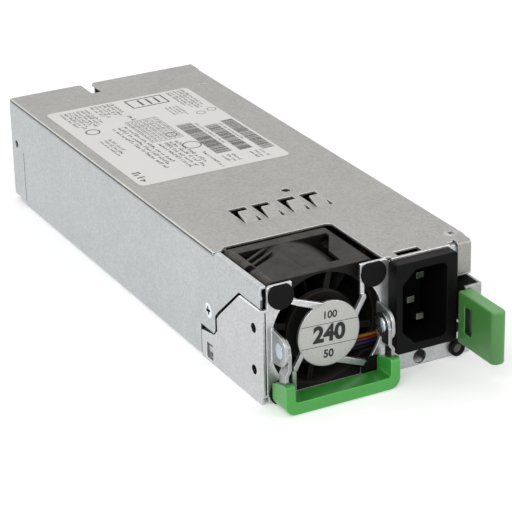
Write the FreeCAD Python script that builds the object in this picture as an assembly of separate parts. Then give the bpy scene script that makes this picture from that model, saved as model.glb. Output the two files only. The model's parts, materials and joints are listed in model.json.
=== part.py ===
"""Hot swap server power supply: sheet metal case, axial fan, mains inlet,
swinging handle, sprung latch and the boards and parts inside.

Millimetres.  Every piece is drawn from the case's front left bottom corner:
X to the right, Y towards the rear, Z up.  When a piece is written it is moved
so that the origin is the middle of the case's base.
"""
import FreeCAD
import Part
import math
import os

V = FreeCAD.Vector

# ---------------------------------------------------------------- case
case_w = 74.0            # across, left wall to right wall
case_l = 195.0           # front face to rear face
case_h = 39.0            # base to top of cover
sheet_t = 0.8            # tray, cover, rear panel
bend_r = 0.3             # inside radius of every sheet bend
cover_seat = 0.2         # air between the tray's return flanges and the cover
lip_left = 6.0           # return flange on top of the left wall
lip_right = 8.0          # return flange on top of the right wall
strip_l = 31.0           # front part of the left wall that reaches full height
strip_w = 2.2            # its return flange, seen beside the fan
strip_z0 = 36.0          # where the front part rises above the rest

# ---------------------------------------------------------------- fan
fan_size = 38.0
fan_len = 28.4
fan_x = fan_size / 2.0 + 3.5        # fan axis from the left wall
fan_z = fan_size / 2.0 + 0.4        # fan axis above the base
fan_y = 3.6              # front face of the fan frame
fan_pitch = fan_size - 6.0          # corner hole spacing
fan_flange = 4.2         # thickness of its two square flanges
fan_bore_r = fan_size / 2.0 - 0.8
fan_wall = 0.8
fan_hole_r = 2.1
rotor_r = fan_bore_r - 0.8          # blade tips
rotor_hub_r = 10.3
rotor_y0 = 7.4
rotor_y1 = 28.6
blade_count = 7
blade_t = 1.1
blade_twist = 52.0
motor_r = 12.0           # motor plate carried by the struts
motor_t = 2.4
fan_gap = 0.8            # from fan frame to the floor around it
fan_window_y = fan_y + fan_len + 1.4      # edge of the cover behind the fan
strut_angles = (12, 102, 192, 282)

# ---------------------------------------------------------------- front bracket
bracket_t = 1.0
bracket_x0 = 2.0         # left edge of the plate above the wing
bracket_x1 = fan_x + fan_size / 2.0 + 2.8      # right edge of the plate
guard_r = fan_bore_r + 1.4          # round opening in front of the fan
guard_hub_r = 10.7
guard_raise = 1.0        # the hub and spokes stand this far forward
ear_l_x1 = fan_x - 12.0
ear_r_x0 = fan_x + 11.7
spoke_w = 1.4
spoke_turn_x = fan_x + 0.4      # the lower spokes are the upper ones turned about this line
wing_top = 31.6
wing_l = 40.5
wing_gap = 0.7           # air between wing and the wall around it
wing_ledge_z = 10.7      # top of the wing's low rear part
wing_groove = (1.15, 1.6)      # x, slot between the wing's bend and the plate
wing_window = (33.0, 37.4, 0.9, 6.4)     # y0, y1, z0, z1
lug_r = 4.4               # from the pivot to the lug's round front
lug_root = 5.6            # half height where it leaves the plate
lug_t = 1.0
lug_x = 3.3              # outer face of the left lug
pivot_y = -4.2
pivot_z = fan_z + 0.2
pivot_rivet_r = 1.6
pivot_head_r = 2.8
pivot_clear = 0.3        # radial play of the handle on its rivets

# ---------------------------------------------------------------- handle
handle_x = fan_x - 0.2          # middle of the handle from the left wall
arm_t = 1.1
arm_gap = 0.1            # side play between lug and arm
arm_head_r = 4.0
arm_set = 1.1            # the necks stand this far outside the heads
neck_y0 = -8.4
neck_y1 = -4.4
neck_z1 = pivot_z - 5.2          # the head's plane ends here
neck_z0 = pivot_z - 6.7          # the neck's plane starts here
bail_z0 = 1.3            # underside of the web between the arms
grip_w = 2 * (handle_x - lug_x) + 1.8
grip_wall = 3.2
grip_y0 = -10.2
grip_y1 = -1.7
grip_bar_h = 3.9
grip_bar_y1 = -3.2
grip_z0 = 0.2
grip_rear_h = 8.0
grip_front_h = 10.8
grip_corner_r = 3.4

# ---------------------------------------------------------------- rubber rivets
cap_r = 4.25
cap_t = 1.0
cap_neck_r = 1.9
cap_clear = 0.15         # round the caps and behind the fan's front flange
bulb_r = 2.6
bulb_l = 2.4
base_clear = 0.2         # nothing but the case stands lower than this

# ---------------------------------------------------------------- inlet
inlet_x0 = case_w - 30.0
inlet_w = 21.8
inlet_z0 = 8.2
inlet_h = 30.1
inlet_proud = 5.0
inlet_body_w = 19.2
inlet_body_h = 27.0
inlet_body_l = 15.0
cavity_w = 16.0
cavity_shift = -0.8      # from the middle of the block towards the earth side
cavity_h = 24.8
cavity_d = 16.0
cavity_cut = 4.6         # sloping corners on the earth side
pin_pitch = 14.0
pin_offset = 4.0
pin_line_x = 2.0         # line and neutral pins from the middle of the cavity
pin_w = 4.0
pin_t = 2.0
pin_recess = 6.0         # face of the inlet to the pin tips
pin_tail_y = 17.0
panel_fit = 0.15         # air round bodies that pass through sheet

# ---------------------------------------------------------------- latch
leaf_t = 0.8
leaf_z0 = 8.8
leaf_z1 = 26.4
leaf_pivot_y = 44.0      # the line the leaf bends about
leaf_out_y = 36.4        # from here the leaf steps out to lie flush with the wall
leaf_gap = 0.8           # wall opening round the leaf
leaf_root_l = 10.0
leaf_rivet_r = 1.2
leaf_end_y = -5.6
leaf_blade_x = case_w - 5.6
leaf_blade_y = -22.0
blade_z0 = 10.6
blade_z1 = 22.6
tooth_y0 = 10.0
tooth_y1 = 16.0
tooth_h = 2.0
tooth_z0 = 12.5
tooth_z1 = 22.5
tab_x0 = leaf_blade_x - 2.9
tab_t = 5.0
tab_y0 = -26.0
tab_y1 = -5.8
tab_z0 = 7.8
tab_z1 = 25.4
tab_window = (-13.7, -9.7, 12.4, 21.6)      # y0, y1, z0, z1

# ---------------------------------------------------------------- front panel details
led_x = case_w - 5.2
led_z = 2.95
led_r = 2.7
led_proud = 1.4
lens_r = 1.5
panel_hole_x = case_w - 18.5
panel_hole_z = 2.9
panel_hole_r = 2.4

# ---------------------------------------------------------------- cover details
cover_slot = (inlet_x0 + 3.4, inlet_x0 + 12.2, 0.0, 3.4)         # x0, x1, y0, y1
cover_lip = (inlet_x0 + 0.8, inlet_x0 + inlet_w - 0.2, -0.8)      # over the inlet: x0, x1, front edge
cover_tab = (case_w - 5.4, case_w - 0.6, 28.2)      # bent down in front: x0, x1, lower end
cover_front = 1.1                           # front edge elsewhere
finger_x = (19.5, 27.8, 37.1, 45.4)
finger_w = 4.5
finger_y = fan_window_y + 12.9
finger_len = 5.7
finger_rise = 2.1
finger_window_w = 6.1
finger_window_l = 12.6
rear_slot_x = 30.6
rear_slot_w = 4.3
rear_slot_l = 10.9
rear_slot_r = 1.2         # rounded corners of the slot and of its mouth
guide_z = 28.0            # the rear panel is open above this height behind the slot
vent_r = 1.9
vent_rows = 5
vent_columns = 13
vent_pitch = 5.0
vent_rise = 5.4
hexagon_hole = (43.9, 64.4, 1.7)            # x, y, radius

# ---------------------------------------------------------------- screws
screw_head_r = 2.5
screw_head_h = 1.2
screw_shank_r = 1.5
top_screw = (case_w - 3.2, 6.8)             # x, y
side_screw = (35.5, 17.7)                   # y, z
nut_r = 2.0
nut_h = 2.2

# ---------------------------------------------------------------- board
board_t = 1.6
board_z = 4.0
board_x0 = 2.2
board_x1 = case_w - 2.6
board_y0 = 37.0
board_y1 = case_l - 9.0
board_nose_x0 = inlet_x0 + 2.4     # the part beside the fan, behind the inlet
board_nose_x1 = case_w - 4.6
board_nose_y = 24.0
edge_w = 40.0
edge_x0 = (case_w - edge_w) / 2.0
edge_x1 = (case_w + edge_w) / 2.0
edge_y1 = case_l + 9.0
pad_count = 18
contact_t = 0.05
foil_t = 0.3             # insulating sheet under the board
foil_y1 = board_y1 - 14.0
board_top = board_z + board_t
standoff_r = 2.6
standoff_hole_r = 1.3
board_screw_r = 2.7

# ---------------------------------------------------------------- parts on the board
bulk_r = 14.6
bulk_l = 46.0
bulk_x = 17.0
bulk_y = 47.0
bulk_lift = 0.2          # from the board to the can
chokes = ((case_w - 19.0, 46.0, 9.5), (case_w - 22.0, 66.0, 10.5))      # x, y of the middle, radius
choke_t = 11.0
boost = (case_w - 35.8, case_w - 8.2, 78.0, 100.0, 24.0)     # x0, x1, y0, y1, height
power_x = case_w / 2.0 - 37.0      # how far the rear parts follow the middle of the case
core_x0 = power_x + 38.2
core_w = 27.0
core_y0 = 118.0
core_y1 = 142.0
core_h = 26.0
core_lift = 1.5
sink_t = 2.0
sink_h = 28.0
sink_fins = 7
chip_t = 1.2
control_x = power_x + 27.6
control_t = 1.2
control_y0 = 100.0
control_y1 = 146.0
control_h = 22.0
out_cap_r = 5.0
out_cap_h = 16.0
out_cap_x = power_x + 14.5
out_cap_y = 160.0
out_cap_pitch = 12.0

# ---------------------------------------------------------------- fan wiring
lead_r = 0.55
lead_step = 1.25
lead_first = 6.6         # first wire below the fan axis
plug_y0 = 38.4

# ---------------------------------------------------------------- label plates
label = (4.4, case_w - 13.1, case_l - 103.4, case_l - 23.4)      # x0, x1, y0, y1
label_t = 0.12
hub_label_r = 10.4


# ================================================================ helpers
def box(x0, x1, y0, y1, z0, z1):
    """A box between two corners."""
    return Part.makeBox(x1 - x0, y1 - y0, z1 - z0, V(x0, y0, z0))


def rod(p, axis, r, length):
    """A cylinder from point p along axis."""
    return Part.makeCylinder(r, length, V(*p), V(*axis))


def place2d(plane, u, v, w):
    """A point of a drawing plane: 'xy', 'xz' or 'yz', at height w above it."""
    if plane == "xy":
        return V(u, v, w)
    if plane == "xz":
        return V(u, w, v)
    return V(w, u, v)


def normal_of(plane, length):
    if plane == "xy":
        return V(0, 0, length)
    if plane == "xz":
        return V(0, length, 0)
    return V(length, 0, 0)


def corner_points(prev, here, after, r):
    """Start, middle and end of the arc of radius r that rounds a corner."""
    a = V(prev[0] - here[0], prev[1] - here[1], 0).normalize()
    b = V(after[0] - here[0], after[1] - here[1], 0).normalize()
    half = a.getAngle(b) / 2.0
    reach = r / math.tan(half)
    p = V(here[0], here[1], 0)
    centre = p + (a + b).normalize() * (r / math.sin(half))
    mid = centre + (p - centre).normalize() * r
    return p + a * reach, mid, p + b * reach


def outline(plane, points, w, radii=None):
    """Closed face through the points; radii gives a rounding for each corner."""
    n = len(points)
    radii = radii or [0] * n
    edges = []
    ends = []
    for i in range(n):
        here = points[i]
        if radii[i] > 0:
            s, m, e = corner_points(points[i - 1], here, points[(i + 1) % n], radii[i])
            edges.append((s, m, e))
            ends.append((s, e))
        else:
            p = V(here[0], here[1], 0)
            edges.append(None)
            ends.append((p, p))
    curve = []
    for i in range(n):
        if edges[i]:
            s, m, e = [place2d(plane, q.x, q.y, w) for q in edges[i]]
            curve.append(Part.Arc(s, m, e).toShape())
        a = ends[i][1]
        b = ends[(i + 1) % n][0]
        if (a - b).Length > 1e-6:
            curve.append(Part.makeLine(place2d(plane, a.x, a.y, w), place2d(plane, b.x, b.y, w)))
    return Part.Face(Part.Wire(curve))


def prism(plane, points, w0, w1, radii=None):
    """An outline pulled from height w0 to w1."""
    return outline(plane, points, w0, radii).extrude(normal_of(plane, w1 - w0))


def offset_line(points, t):
    """The polyline moved t to its left."""
    out = []
    n = len(points)
    for i in range(n):
        dirs = []
        if i > 0:
            dirs.append(V(points[i][0] - points[i - 1][0], points[i][1] - points[i - 1][1], 0).normalize())
        if i < n - 1:
            dirs.append(V(points[i + 1][0] - points[i][0], points[i + 1][1] - points[i][1], 0).normalize())
        left = [V(-d.y, d.x, 0) for d in dirs]
        if len(left) == 1:
            shift = left[0] * t
        else:
            mean = (left[0] + left[1]).normalize()
            shift = mean * (t / mean.dot(left[0]))
        out.append((points[i][0] + shift.x, points[i][1] + shift.y))
    return out


def bent_sheet(plane, points, t, w0, w1, r=None):
    """Folded sheet: thickness t to the left of the polyline, bends rounded."""
    r = bend_r if r is None else r
    other = offset_line(points, t)
    near = [0]
    far = [0]
    for i in range(1, len(points) - 1):
        ax = points[i][0] - points[i - 1][0]
        ay = points[i][1] - points[i - 1][1]
        bx = points[i + 1][0] - points[i][0]
        by = points[i + 1][1] - points[i][1]
        left_turn = ax * by - ay * bx > 0
        near.append(r + t if left_turn else r)
        far.append(r if left_turn else r + t)
    near.append(0)
    far.append(0)
    return prism(plane, points + other[::-1], w0, w1, near + far[::-1])


def join(shapes):
    """One solid from overlapping or touching shapes."""
    out = shapes[0]
    if len(shapes) > 1:
        out = out.fuse(shapes[1:])
    return out.removeSplitter()


def minus(shape, cutters):
    return shape.cut(cutters).removeSplitter()


def group(shapes):
    return Part.makeCompound(shapes)


def rounded_bar(x0, x1, y0, y1, z0, z1, r):
    """A box with its upright edges rounded."""
    pts = [(x0, y0), (x1, y0), (x1, y1), (x0, y1)]
    return prism("xy", pts, z0, z1, [r] * 4)


def lead(points, bend, r):
    """A round wire along straight runs joined by tangent arcs."""
    pts = [V(*p) for p in points]
    curve = []
    start = pts[0]
    for i in range(1, len(pts) - 1):
        a = (pts[i - 1] - pts[i]).normalize()
        b = (pts[i + 1] - pts[i]).normalize()
        half = a.getAngle(b) / 2.0
        reach = bend / math.tan(half)
        centre = pts[i] + (a + b).normalize() * (bend / math.sin(half))
        s = pts[i] + a * reach
        e = pts[i] + b * reach
        m = centre + (pts[i] - centre).normalize() * bend
        curve.append(Part.makeLine(start, s))
        curve.append(Part.Arc(s, m, e).toShape())
        start = e
    curve.append(Part.makeLine(start, pts[-1]))
    path = Part.Wire(curve)
    ring = Part.Wire([Part.makeCircle(r, pts[0], pts[1] - pts[0])])
    return path.makePipeShell([ring], True, True)


# ================================================================ case
def wall_opening():
    """Cut-out in the left wall that the bracket's wing lies in."""
    ledge = wing_ledge_z + 0.5
    pts = [(-1, -1), (wing_l + 0.4, -1), (wing_l + 0.4, ledge), (32.0, ledge), (30.9, ledge + 1.4)]
    pts += [(30.9, 17.6), (28.9, 19.7), (14.3, wing_top + wing_gap), (-1, wing_top + wing_gap)]
    return prism("yz", pts, -1, sheet_t + 0.2)


def leaf_opening():
    """Cut-out in the right wall and the front panel round the latch leaf."""
    z0 = leaf_z0 - leaf_gap
    z1 = leaf_z1 + leaf_gap
    side = box(case_w - 2, case_w + 1, -1, leaf_out_y + leaf_gap, z0, z1)
    front = box(tab_x0 - leaf_gap, case_w + 1, -1, bend_r + 1.2, z0, z1)
    return side.fuse(front)


def tray_section():
    """Base, two walls and their return flanges as one folded strip."""
    top = case_h - sheet_t - cover_seat
    pts = [(lip_left, top), (0, top), (0, 0), (case_w, 0), (case_w, top), (case_w - lip_right, top)]
    return bent_sheet("xz", pts, sheet_t, 0.6, case_l)


def make_tray():
    top = case_h - sheet_t - cover_seat
    fan_y1 = fan_y + fan_len + fan_gap
    rear_y0 = case_l - rear_slot_l
    body = tray_section()
    body = body.cut([
        box(-1, sheet_t + bend_r, 0, strip_l - 0.4, strip_z0, case_h + 1),
        box(sheet_t, lip_left + 1, 0, fan_window_y + 0.2, strip_z0, case_h + 1),
        box(-1, fan_x + fan_size / 2.0 + fan_gap, 0, fan_y1, -1, 2),
        box(-1, bracket_x1, 0, bracket_t + 0.1, -1, 2),
        wall_opening(),
        box(-1, case_w + 1, rear_y0 - 0.1, case_l + 1, -1, 2.0),
        box(-1, sheet_t + 1, rear_y0 - 0.1, rear_y0 + 0.7, -1, 21.0),
        box(case_w - lip_right - 1, case_w - 2, 0.0, 0.9, 30.0, case_h),
    ])
    strip_pts = [(strip_w, case_h), (0, case_h), (0, strip_z0 - 1)]
    strip = bent_sheet("xz", strip_pts, sheet_t, 1.1, strip_l - 0.4)
    panel = bent_sheet("yz", [(6.0, 0), (0, 0), (0, top)], -sheet_t, bracket_x1, case_w)
    side = box(bracket_x1, bracket_x1 + sheet_t, 0.4, 11.0, 6.0, 33.0)
    ear = box(1.2, 1.2 + sheet_t, fan_y1, wing_l, 0.2, 9.2)
    ear_foot = box(1.2, 6.0, fan_y1, wing_l, 0, sheet_t)
    hook = box(0.6, 1.3, wing_window[0] + 0.9, wing_window[1] - 0.8, 3.2, 5.2)
    body = body.fuse([strip, panel, side, ear, ear_foot, hook])
    cx, cz = inlet_centre()
    half_w = inlet_body_w / 2.0 + panel_fit
    half_h = inlet_body_h / 2.0 + panel_fit
    sy, sz = side_screw
    cutters = [
        leaf_opening(),
        box(cx - half_w, cx + half_w, -1, 2, cz - half_h, cz + half_h),
        box(cover_tab[0] - 0.4, case_w + 1, -1, 0.9, top - 0.7, case_h),
        rod((panel_hole_x, -1, panel_hole_z), (0, 1, 0), panel_hole_r, 3),
        box(panel_hole_x - 2.6, panel_hole_x + 2.6, sheet_t, 8.0, -1, 2),
        rod((led_x, -1, led_z), (0, 1, 0), led_r - 0.6, 3),
        rod((top_screw[0], top_screw[1], 30), (0, 0, 1), screw_shank_r, 12),
        rod((-1, sy, sz), (1, 0, 0), screw_shank_r, 3),
        Part.makeCone(screw_head_r, screw_shank_r, screw_head_h - 0.4, V(0, sy, sz), V(1, 0, 0)),
        rod((-1, case_l - 4.4, 22.6), (1, 0, 0), 1.5, 3),
        box(1.0, 2.1, 33.9, 36.9, 0.9, 2.9),
    ]
    for z in leaf_rivet_heights():
        cutters.append(rod((case_w - 2, leaf_pivot_y + 5.0, z), (1, 0, 0), leaf_rivet_r, 3))
    return minus(body, cutters)


def rear_slot_outline():
    """Slot in the cover's rear edge for the guide of the bay, from right to left."""
    x0 = rear_slot_x - rear_slot_w / 2.0
    x1 = rear_slot_x + rear_slot_w / 2.0
    return [(x1, case_l), (x1, case_l - rear_slot_l), (x0, case_l - rear_slot_l), (x0, case_l)]


def make_cover():
    z0 = case_h - sheet_t
    fan_x1 = fan_x + fan_size / 2.0 + 1.2
    lip_x0, lip_x1, lip_y = cover_lip
    tab_x0, tab_x1, tab_z0 = cover_tab
    pts = [(0, case_l), (0, strip_l), (3.0, strip_l + 0.3), (5.2, fan_window_y), (fan_x1, fan_window_y),
           (fan_x1, cover_front), (lip_x0, cover_front), (lip_x0, lip_y), (lip_x1, lip_y), (lip_x1, cover_front),
           (tab_x0 - 0.8, cover_front), (tab_x0 - 0.8, 2.2), (tab_x1, 2.2), (case_w, 5.0), (case_w, case_l)]
    pts += rear_slot_outline()
    radii = [0.8, 0, 0, 0.8, 2.0, 0, 0, 0, 0, 0.4, 0, 0, 0, 2.0, 0.8] + [rear_slot_r] * 4
    body = prism("xy", pts, z0, case_h, radii)
    tab_pts = [(6.0, case_h), (-sheet_t, case_h), (-sheet_t, tab_z0)]
    tab = bent_sheet("yz", tab_pts, sheet_t, tab_x0, tab_x1, 0.5)
    hook = bent_sheet("xz", [(case_w - 6.0, case_h), (case_w + 0.7, case_h), (case_w + 0.7, 31.0)], -0.7,
                      case_l - 6.5, case_l)
    body = body.fuse([tab, hook])
    sx0, sx1, sy0, sy1 = cover_slot
    cutters = [
        box(sx0, sx1, sy0, sy1, z0 - 1, case_h + 1),
        rod((top_screw[0], top_screw[1], z0 - 2), (0, 0, 1), screw_shank_r, 4),
        Part.makeCone(screw_shank_r, screw_head_r, sheet_t, V(top_screw[0], top_screw[1], z0)),
        box(case_w - 7.4, case_w - 4.8, case_l - 23.4, case_l - 22.6, z0 - 1, case_h + 1),
    ]
    hx, hy, hr = hexagon_hole
    turns = [math.radians(60 * k + 10) for k in range(6)]
    hexagon = [(hx + hr * math.cos(a), hy + hr * math.sin(a)) for a in turns]
    cutters.append(prism("xy", hexagon, z0 - 1, case_h + 1))
    fingers = []
    for x in finger_x:
        cutters.append(box(x, x + finger_window_w, finger_y, finger_y + finger_window_l, z0 - 1, case_h + 1))
        rise = [(finger_y - 0.6, z0), (finger_y, z0), (finger_y + finger_len, z0 + finger_rise)]
        fingers.append(bent_sheet("yz", rise, sheet_t, x + 0.25, x + 0.25 + finger_w, 0.4))
    body = body.cut(cutters)
    return join([body] + fingers)


def make_rear_panel():
    t = sheet_t
    top = case_h - sheet_t - cover_seat - sheet_t
    foot_y = case_l - 8.1
    pts = [(case_l, top), (case_l, 2.0), (foot_y, 2.0), (foot_y - 1.2, sheet_t), (foot_y - 10.9, sheet_t)]
    side = t + bend_r
    body = bent_sheet("yz", pts, -t, side, case_w - side)
    guide_half = rear_slot_w / 2.0 + rear_slot_r
    cutters = [box(edge_x0 - 1.2, edge_x1 + 1.2, case_l - 2, case_l + 1, board_z - 0.7, board_top + 1.2),
               box(rear_slot_x - guide_half, rear_slot_x + guide_half, case_l - 2, case_l + 1, guide_z, case_h)]
    for row in range(vent_rows):
        for col in range(vent_columns):
            x = case_w / 2.0 + vent_pitch * (col - (vent_columns - 1) / 2.0)
            z = 12.0 + vent_rise * row
            if z + vent_r < guide_z or abs(x - rear_slot_x) > guide_half + vent_r + 0.8:
                cutters.append(rod((x, case_l - 2, z), (0, 1, 0), vent_r, 3))
    return minus(body, cutters)


def make_fan_stop():
    """Angle behind the fan, held by the screw in the left wall."""
    x0 = sheet_t
    y0 = fan_y + fan_len + 0.1
    pts = [(x0, 45.0), (x0, y0), (9.0, y0)]
    body = bent_sheet("xy", pts, sheet_t, 13.0, 27.0)
    hole = rod((-1, side_screw[0], side_screw[1]), (1, 0, 0), screw_shank_r, 4)
    return minus(body, [hole])


# ================================================================ front bracket
def guard_blank():
    """Plate with the round opening and the four ears left standing."""
    x0 = bracket_x0
    x1 = bracket_x1 - 0.1
    z0 = base_clear
    z1 = case_h
    pts = [(x0, z0), (x1, z0), (x1, z1), (x0, z1)]
    plate = prism("xz", pts, 0, bracket_t, [1.0, 1.0, 1.5, 1.5])
    bore = rod((fan_x, -1, fan_z), (0, 1, 0), guard_r, 3)
    above = box(ear_l_x1, ear_r_x0, -1, 2, fan_z + 8, z1 + 1)
    below = box(2 * fan_x - ear_r_x0, 2 * fan_x - ear_l_x1, -1, 2, z0 - 1, fan_z - 8)
    return plate.cut([bore, above, below])


def spoke_pair():
    """The two spokes of one half; the other half is the same turned half a turn."""
    cx, cz = fan_x, fan_z
    hub_x = guard_hub_r * 0.87
    left = ear_r_x0
    right = ear_r_x0 + spoke_w
    shallow = [(cx - 13.8, cz + 13.2), (cx - 12.6, cz + 14.3), (cx - 10.4, cz + 13.6), (cx - 1.0, cz + 10.1),
               (cx - 3.6, cz + 8.8), (cx - 10.5, cz + 11.6)]
    anchor = [(cx - 13.8, cz + 13.2), (cx - 14.8, cz + 15.0), (cx - 12.4, cz + 14.6), (cx - 10.4, cz + 13.6),
              (cx - 10.5, cz + 11.6)]
    steep = [(left, cz + 9.9), (left, cz + 9.4), (cx + hub_x, cz + 5.3), (cx + 9.9, cz + 2.6),
             (cx + 10.9, cz + 5.0), (right, cz + 8.7), (right, cz + 9.9)]
    upright = box(left, right, 0, bracket_t, cz + 8.6, cz + 18.0)
    out = [prism("xz", shallow, -guard_raise, 0.3), prism("xz", steep, -guard_raise, 0.3)]
    return out + [prism("xz", anchor, 0, bracket_t), upright]


def guard_spokes():
    half = spoke_pair()
    turned = []
    for s in half:
        c = s.copy()
        c.rotate(V(spoke_turn_x, 0, fan_z), V(0, 1, 0), 180)
        turned.append(c)
    hub = rod((fan_x, -guard_raise, fan_z), (0, 1, 0), guard_hub_r, bracket_t)
    return half + turned + [hub]


def lug(x0, edge_x):
    """Round ended lug bent forward for the handle, with its root in the plate."""
    front = pivot_y - lug_r
    side = [(bracket_t, pivot_z - lug_root), (bracket_t, pivot_z + lug_root),
            (front, pivot_z + lug_r + 0.2), (front, pivot_z - lug_r - 0.2)]
    tongue = prism("yz", side, x0, x0 + lug_t, [0, 0, lug_r - 0.2, lug_r - 0.2])
    a, b = min(x0, edge_x), max(x0 + lug_t, edge_x)
    root = box(a, b, 0, bracket_t, pivot_z - lug_root, pivot_z + lug_root)
    return tongue.fuse(root)


def wing():
    """The bracket's side, flush in the left wall."""
    pts = [(0.9, 0.0), (wing_l, 0.0), (wing_l, wing_ledge_z - 1.5), (31.6, wing_ledge_z), (30.4, 12.3),
           (29.6, 12.5), (29.6, 17.2), (27.9, 19.2), (13.8, wing_top), (0.9, wing_top)]
    plate = prism("yz", pts, 0, bracket_t, [0, 0.6, 0.4, 0, 0, 0, 0, 0, 0.8, 0])
    y0, y1, z0, z1 = wing_window
    window = box(-1, 2, y0, y1, z0, z1)
    holes = [rod((-1, 5.2, z), (1, 0, 0), 1.6, 3) for z in (24.2, 10.3)]
    return plate.cut([window] + holes)


def rivet_places():
    """x and z of the fan's four corner holes."""
    half = fan_pitch / 2.0
    return [(fan_x + sx * half, fan_z + sz * half) for sx in (-1, 1) for sz in (-1, 1)]


def make_bracket():
    """Guard plate, ears, spokes, lugs and side wing folded from one sheet."""
    corner = bent_sheet("xy", [(2.8, 0), (0, 0), (0, 3.0)], -bracket_t, 2.6, wing_top, 0.5)
    return_flange = box(bracket_x1 - 0.1 - bracket_t, bracket_x1 - 0.1, 0.5, 11.0, 6.0, 33.0)
    lugs = [lug(lug_x, bracket_x0 + 0.5), lug(2 * handle_x - lug_x - lug_t, bracket_x1 - 1.0)]
    spokes = join(guard_spokes())
    spokes = spokes.cut([rod((x, -5, z), (0, 1, 0), cap_r + cap_clear, 5) for x, z in rivet_places()])
    body = join([guard_blank(), corner, wing(), return_flange, spokes] + lugs)
    holes = [rod((x, -2, z), (0, 1, 0), cap_neck_r, 4) for x, z in rivet_places()]
    pin = rod((0, pivot_y, pivot_z), (1, 0, 0), pivot_rivet_r, case_w)
    groove = box(wing_groove[0], wing_groove[1], -0.1, 1.7, 3.4, wing_top - 0.9)
    return minus(body, holes + [pin, groove])


def make_rubber_rivets():
    """Four rubber rivets that hang the fan from the bracket."""
    out = []
    bulb_y = fan_y + fan_flange
    for x, z in rivet_places():
        head = rod((x, -cap_t, z), (0, 1, 0), cap_r, cap_t)
        neck = rod((x, -0.5, z), (0, 1, 0), cap_neck_r, bulb_y + 1.5)
        collar = rod((x, bracket_t, z), (0, 1, 0), 2.7, fan_y - bracket_t)
        bulb = Part.makeCone(bulb_r, 1.6, bulb_l, V(x, bulb_y, z), V(0, 1, 0))
        piece = join([head, neck, collar, bulb])
        out.append(piece.common(box(0, case_w, -5, 40, base_clear, case_h)))
    return group(out)


# ================================================================ fan
def fan_square(y0, t):
    half = fan_size / 2.0
    pts = [(fan_x - half, fan_z - half), (fan_x + half, fan_z - half),
           (fan_x + half, fan_z + half), (fan_x - half, fan_z + half)]
    return prism("xz", pts, y0, y0 + t, [2.5] * 4)


def strut(angle):
    """One strut from the motor plate to the frame."""
    bar = box(fan_x + motor_r - 1.0, fan_x + fan_bore_r + 0.4, fan_y + 1.5, fan_y + 0.3 + motor_t,
              fan_z - 0.9, fan_z + 0.9)
    bar.rotate(V(fan_x, 0, fan_z), V(0, 1, 0), angle)
    return bar


def make_fan_frame():
    half = fan_size / 2.0
    y1 = fan_y + fan_len
    duct = rod((fan_x, fan_y, fan_z), (0, 1, 0), fan_bore_r + fan_wall, fan_len)
    parts = [fan_square(fan_y, fan_flange), fan_square(y1 - fan_flange, fan_flange), duct]
    for side in (-1, 1):
        for up in (-1, 1):
            x0, x1 = sorted([fan_x + side * half, fan_x + side * (half - 3.4)])
            z0, z1 = sorted([fan_z + up * half, fan_z + up * (half - 1.2)])
            parts.append(box(x0, x1, fan_y + 1, y1 - 1, z0, z1))
    top = fan_z + half
    web = [(fan_x - half + 3.0, fan_y + 2), (fan_x - 4.0, fan_y + 2), (fan_x - 4.0, fan_y + 18.5),
           (fan_x - half + 3.0, fan_y + 12.0)]
    parts.append(prism("xy", web, top - 1.2, top))
    gusset = [(fan_x + 9.0, fan_y + 2), (fan_x + half - 1, fan_y + 2), (fan_x + half - 1, y1 - 2),
              (fan_x + 9.6, fan_y + 12)]
    parts.append(prism("xy", gusset, top - 1.2, top))
    for shift in (0.0, 3.4):
        x0 = fan_x - half + 2.0
        rib = [(x0, fan_y + 13.4 + shift), (x0 + 11.5, fan_y + 20.4 + shift),
               (x0 + 11.5, fan_y + 21.6 + shift), (x0, fan_y + 14.6 + shift)]
        parts.append(prism("xy", rib, top - 1.4, top - 0.2))
    body = join(parts)
    body = body.common(fan_square(fan_y, fan_len))
    cutters = [rod((fan_x, fan_y - 1, fan_z), (0, 1, 0), fan_bore_r, fan_len + 2)]
    for x, z in rivet_places():
        cutters.append(rod((x, fan_y - 1, z), (0, 1, 0), fan_hole_r, fan_len + 2))
        cutters.append(rod((x, fan_y + fan_flange, z), (0, 1, 0), bulb_r + cap_clear, bulb_l + 0.2))
    x0 = fan_x - half
    cutters.append(box(x0 - 1, x0 + 3.0, fan_y + 11.2, fan_y + 14.6, fan_z + half - 6.0, fan_z + half + 1))
    cutters.append(box(fan_x + motor_r, fan_x + half + 1, fan_y - 1, fan_y + 1.5,
                       fan_z - lead_first - 3 * lead_step - 1.0, fan_z - lead_first + 1.0))
    body = body.cut(cutters)
    plate = rod((fan_x, fan_y + 0.3, fan_z), (0, 1, 0), motor_r, motor_t)
    struts = [strut(a) for a in strut_angles]
    return join([body, plate] + struts)


def make_fan_stator():
    """Bearing tube and wound core inside the rotor."""
    y0 = fan_y + 0.3 + motor_t
    tube = rod((fan_x, y0, fan_z), (0, 1, 0), 2.6, 18.0)
    tube = tube.cut(rod((fan_x, y0 + 1.0, fan_z), (0, 1, 0), 1.6, 20.0))
    core = rod((fan_x, y0 + 6.0, fan_z), (0, 1, 0), 3.4, 8.0)
    core = core.cut(rod((fan_x, y0 + 5.0, fan_z), (0, 1, 0), 2.6, 10.0))
    arms = []
    for k in range(4):
        arm = box(fan_x + 3.0, fan_x + 7.0, y0 + 6.0, y0 + 14.0, fan_z - 1.3, fan_z + 1.3)
        shoe = box(fan_x + 6.6, fan_x + 7.8, y0 + 7.0, y0 + 13.0, fan_z - 3.6, fan_z + 3.6)
        piece = arm.fuse(shoe)
        piece.rotate(V(fan_x, 0, fan_z), V(0, 1, 0), 90 * k + 45)
        arms.append(piece)
    return join([tube, core] + arms)


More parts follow.
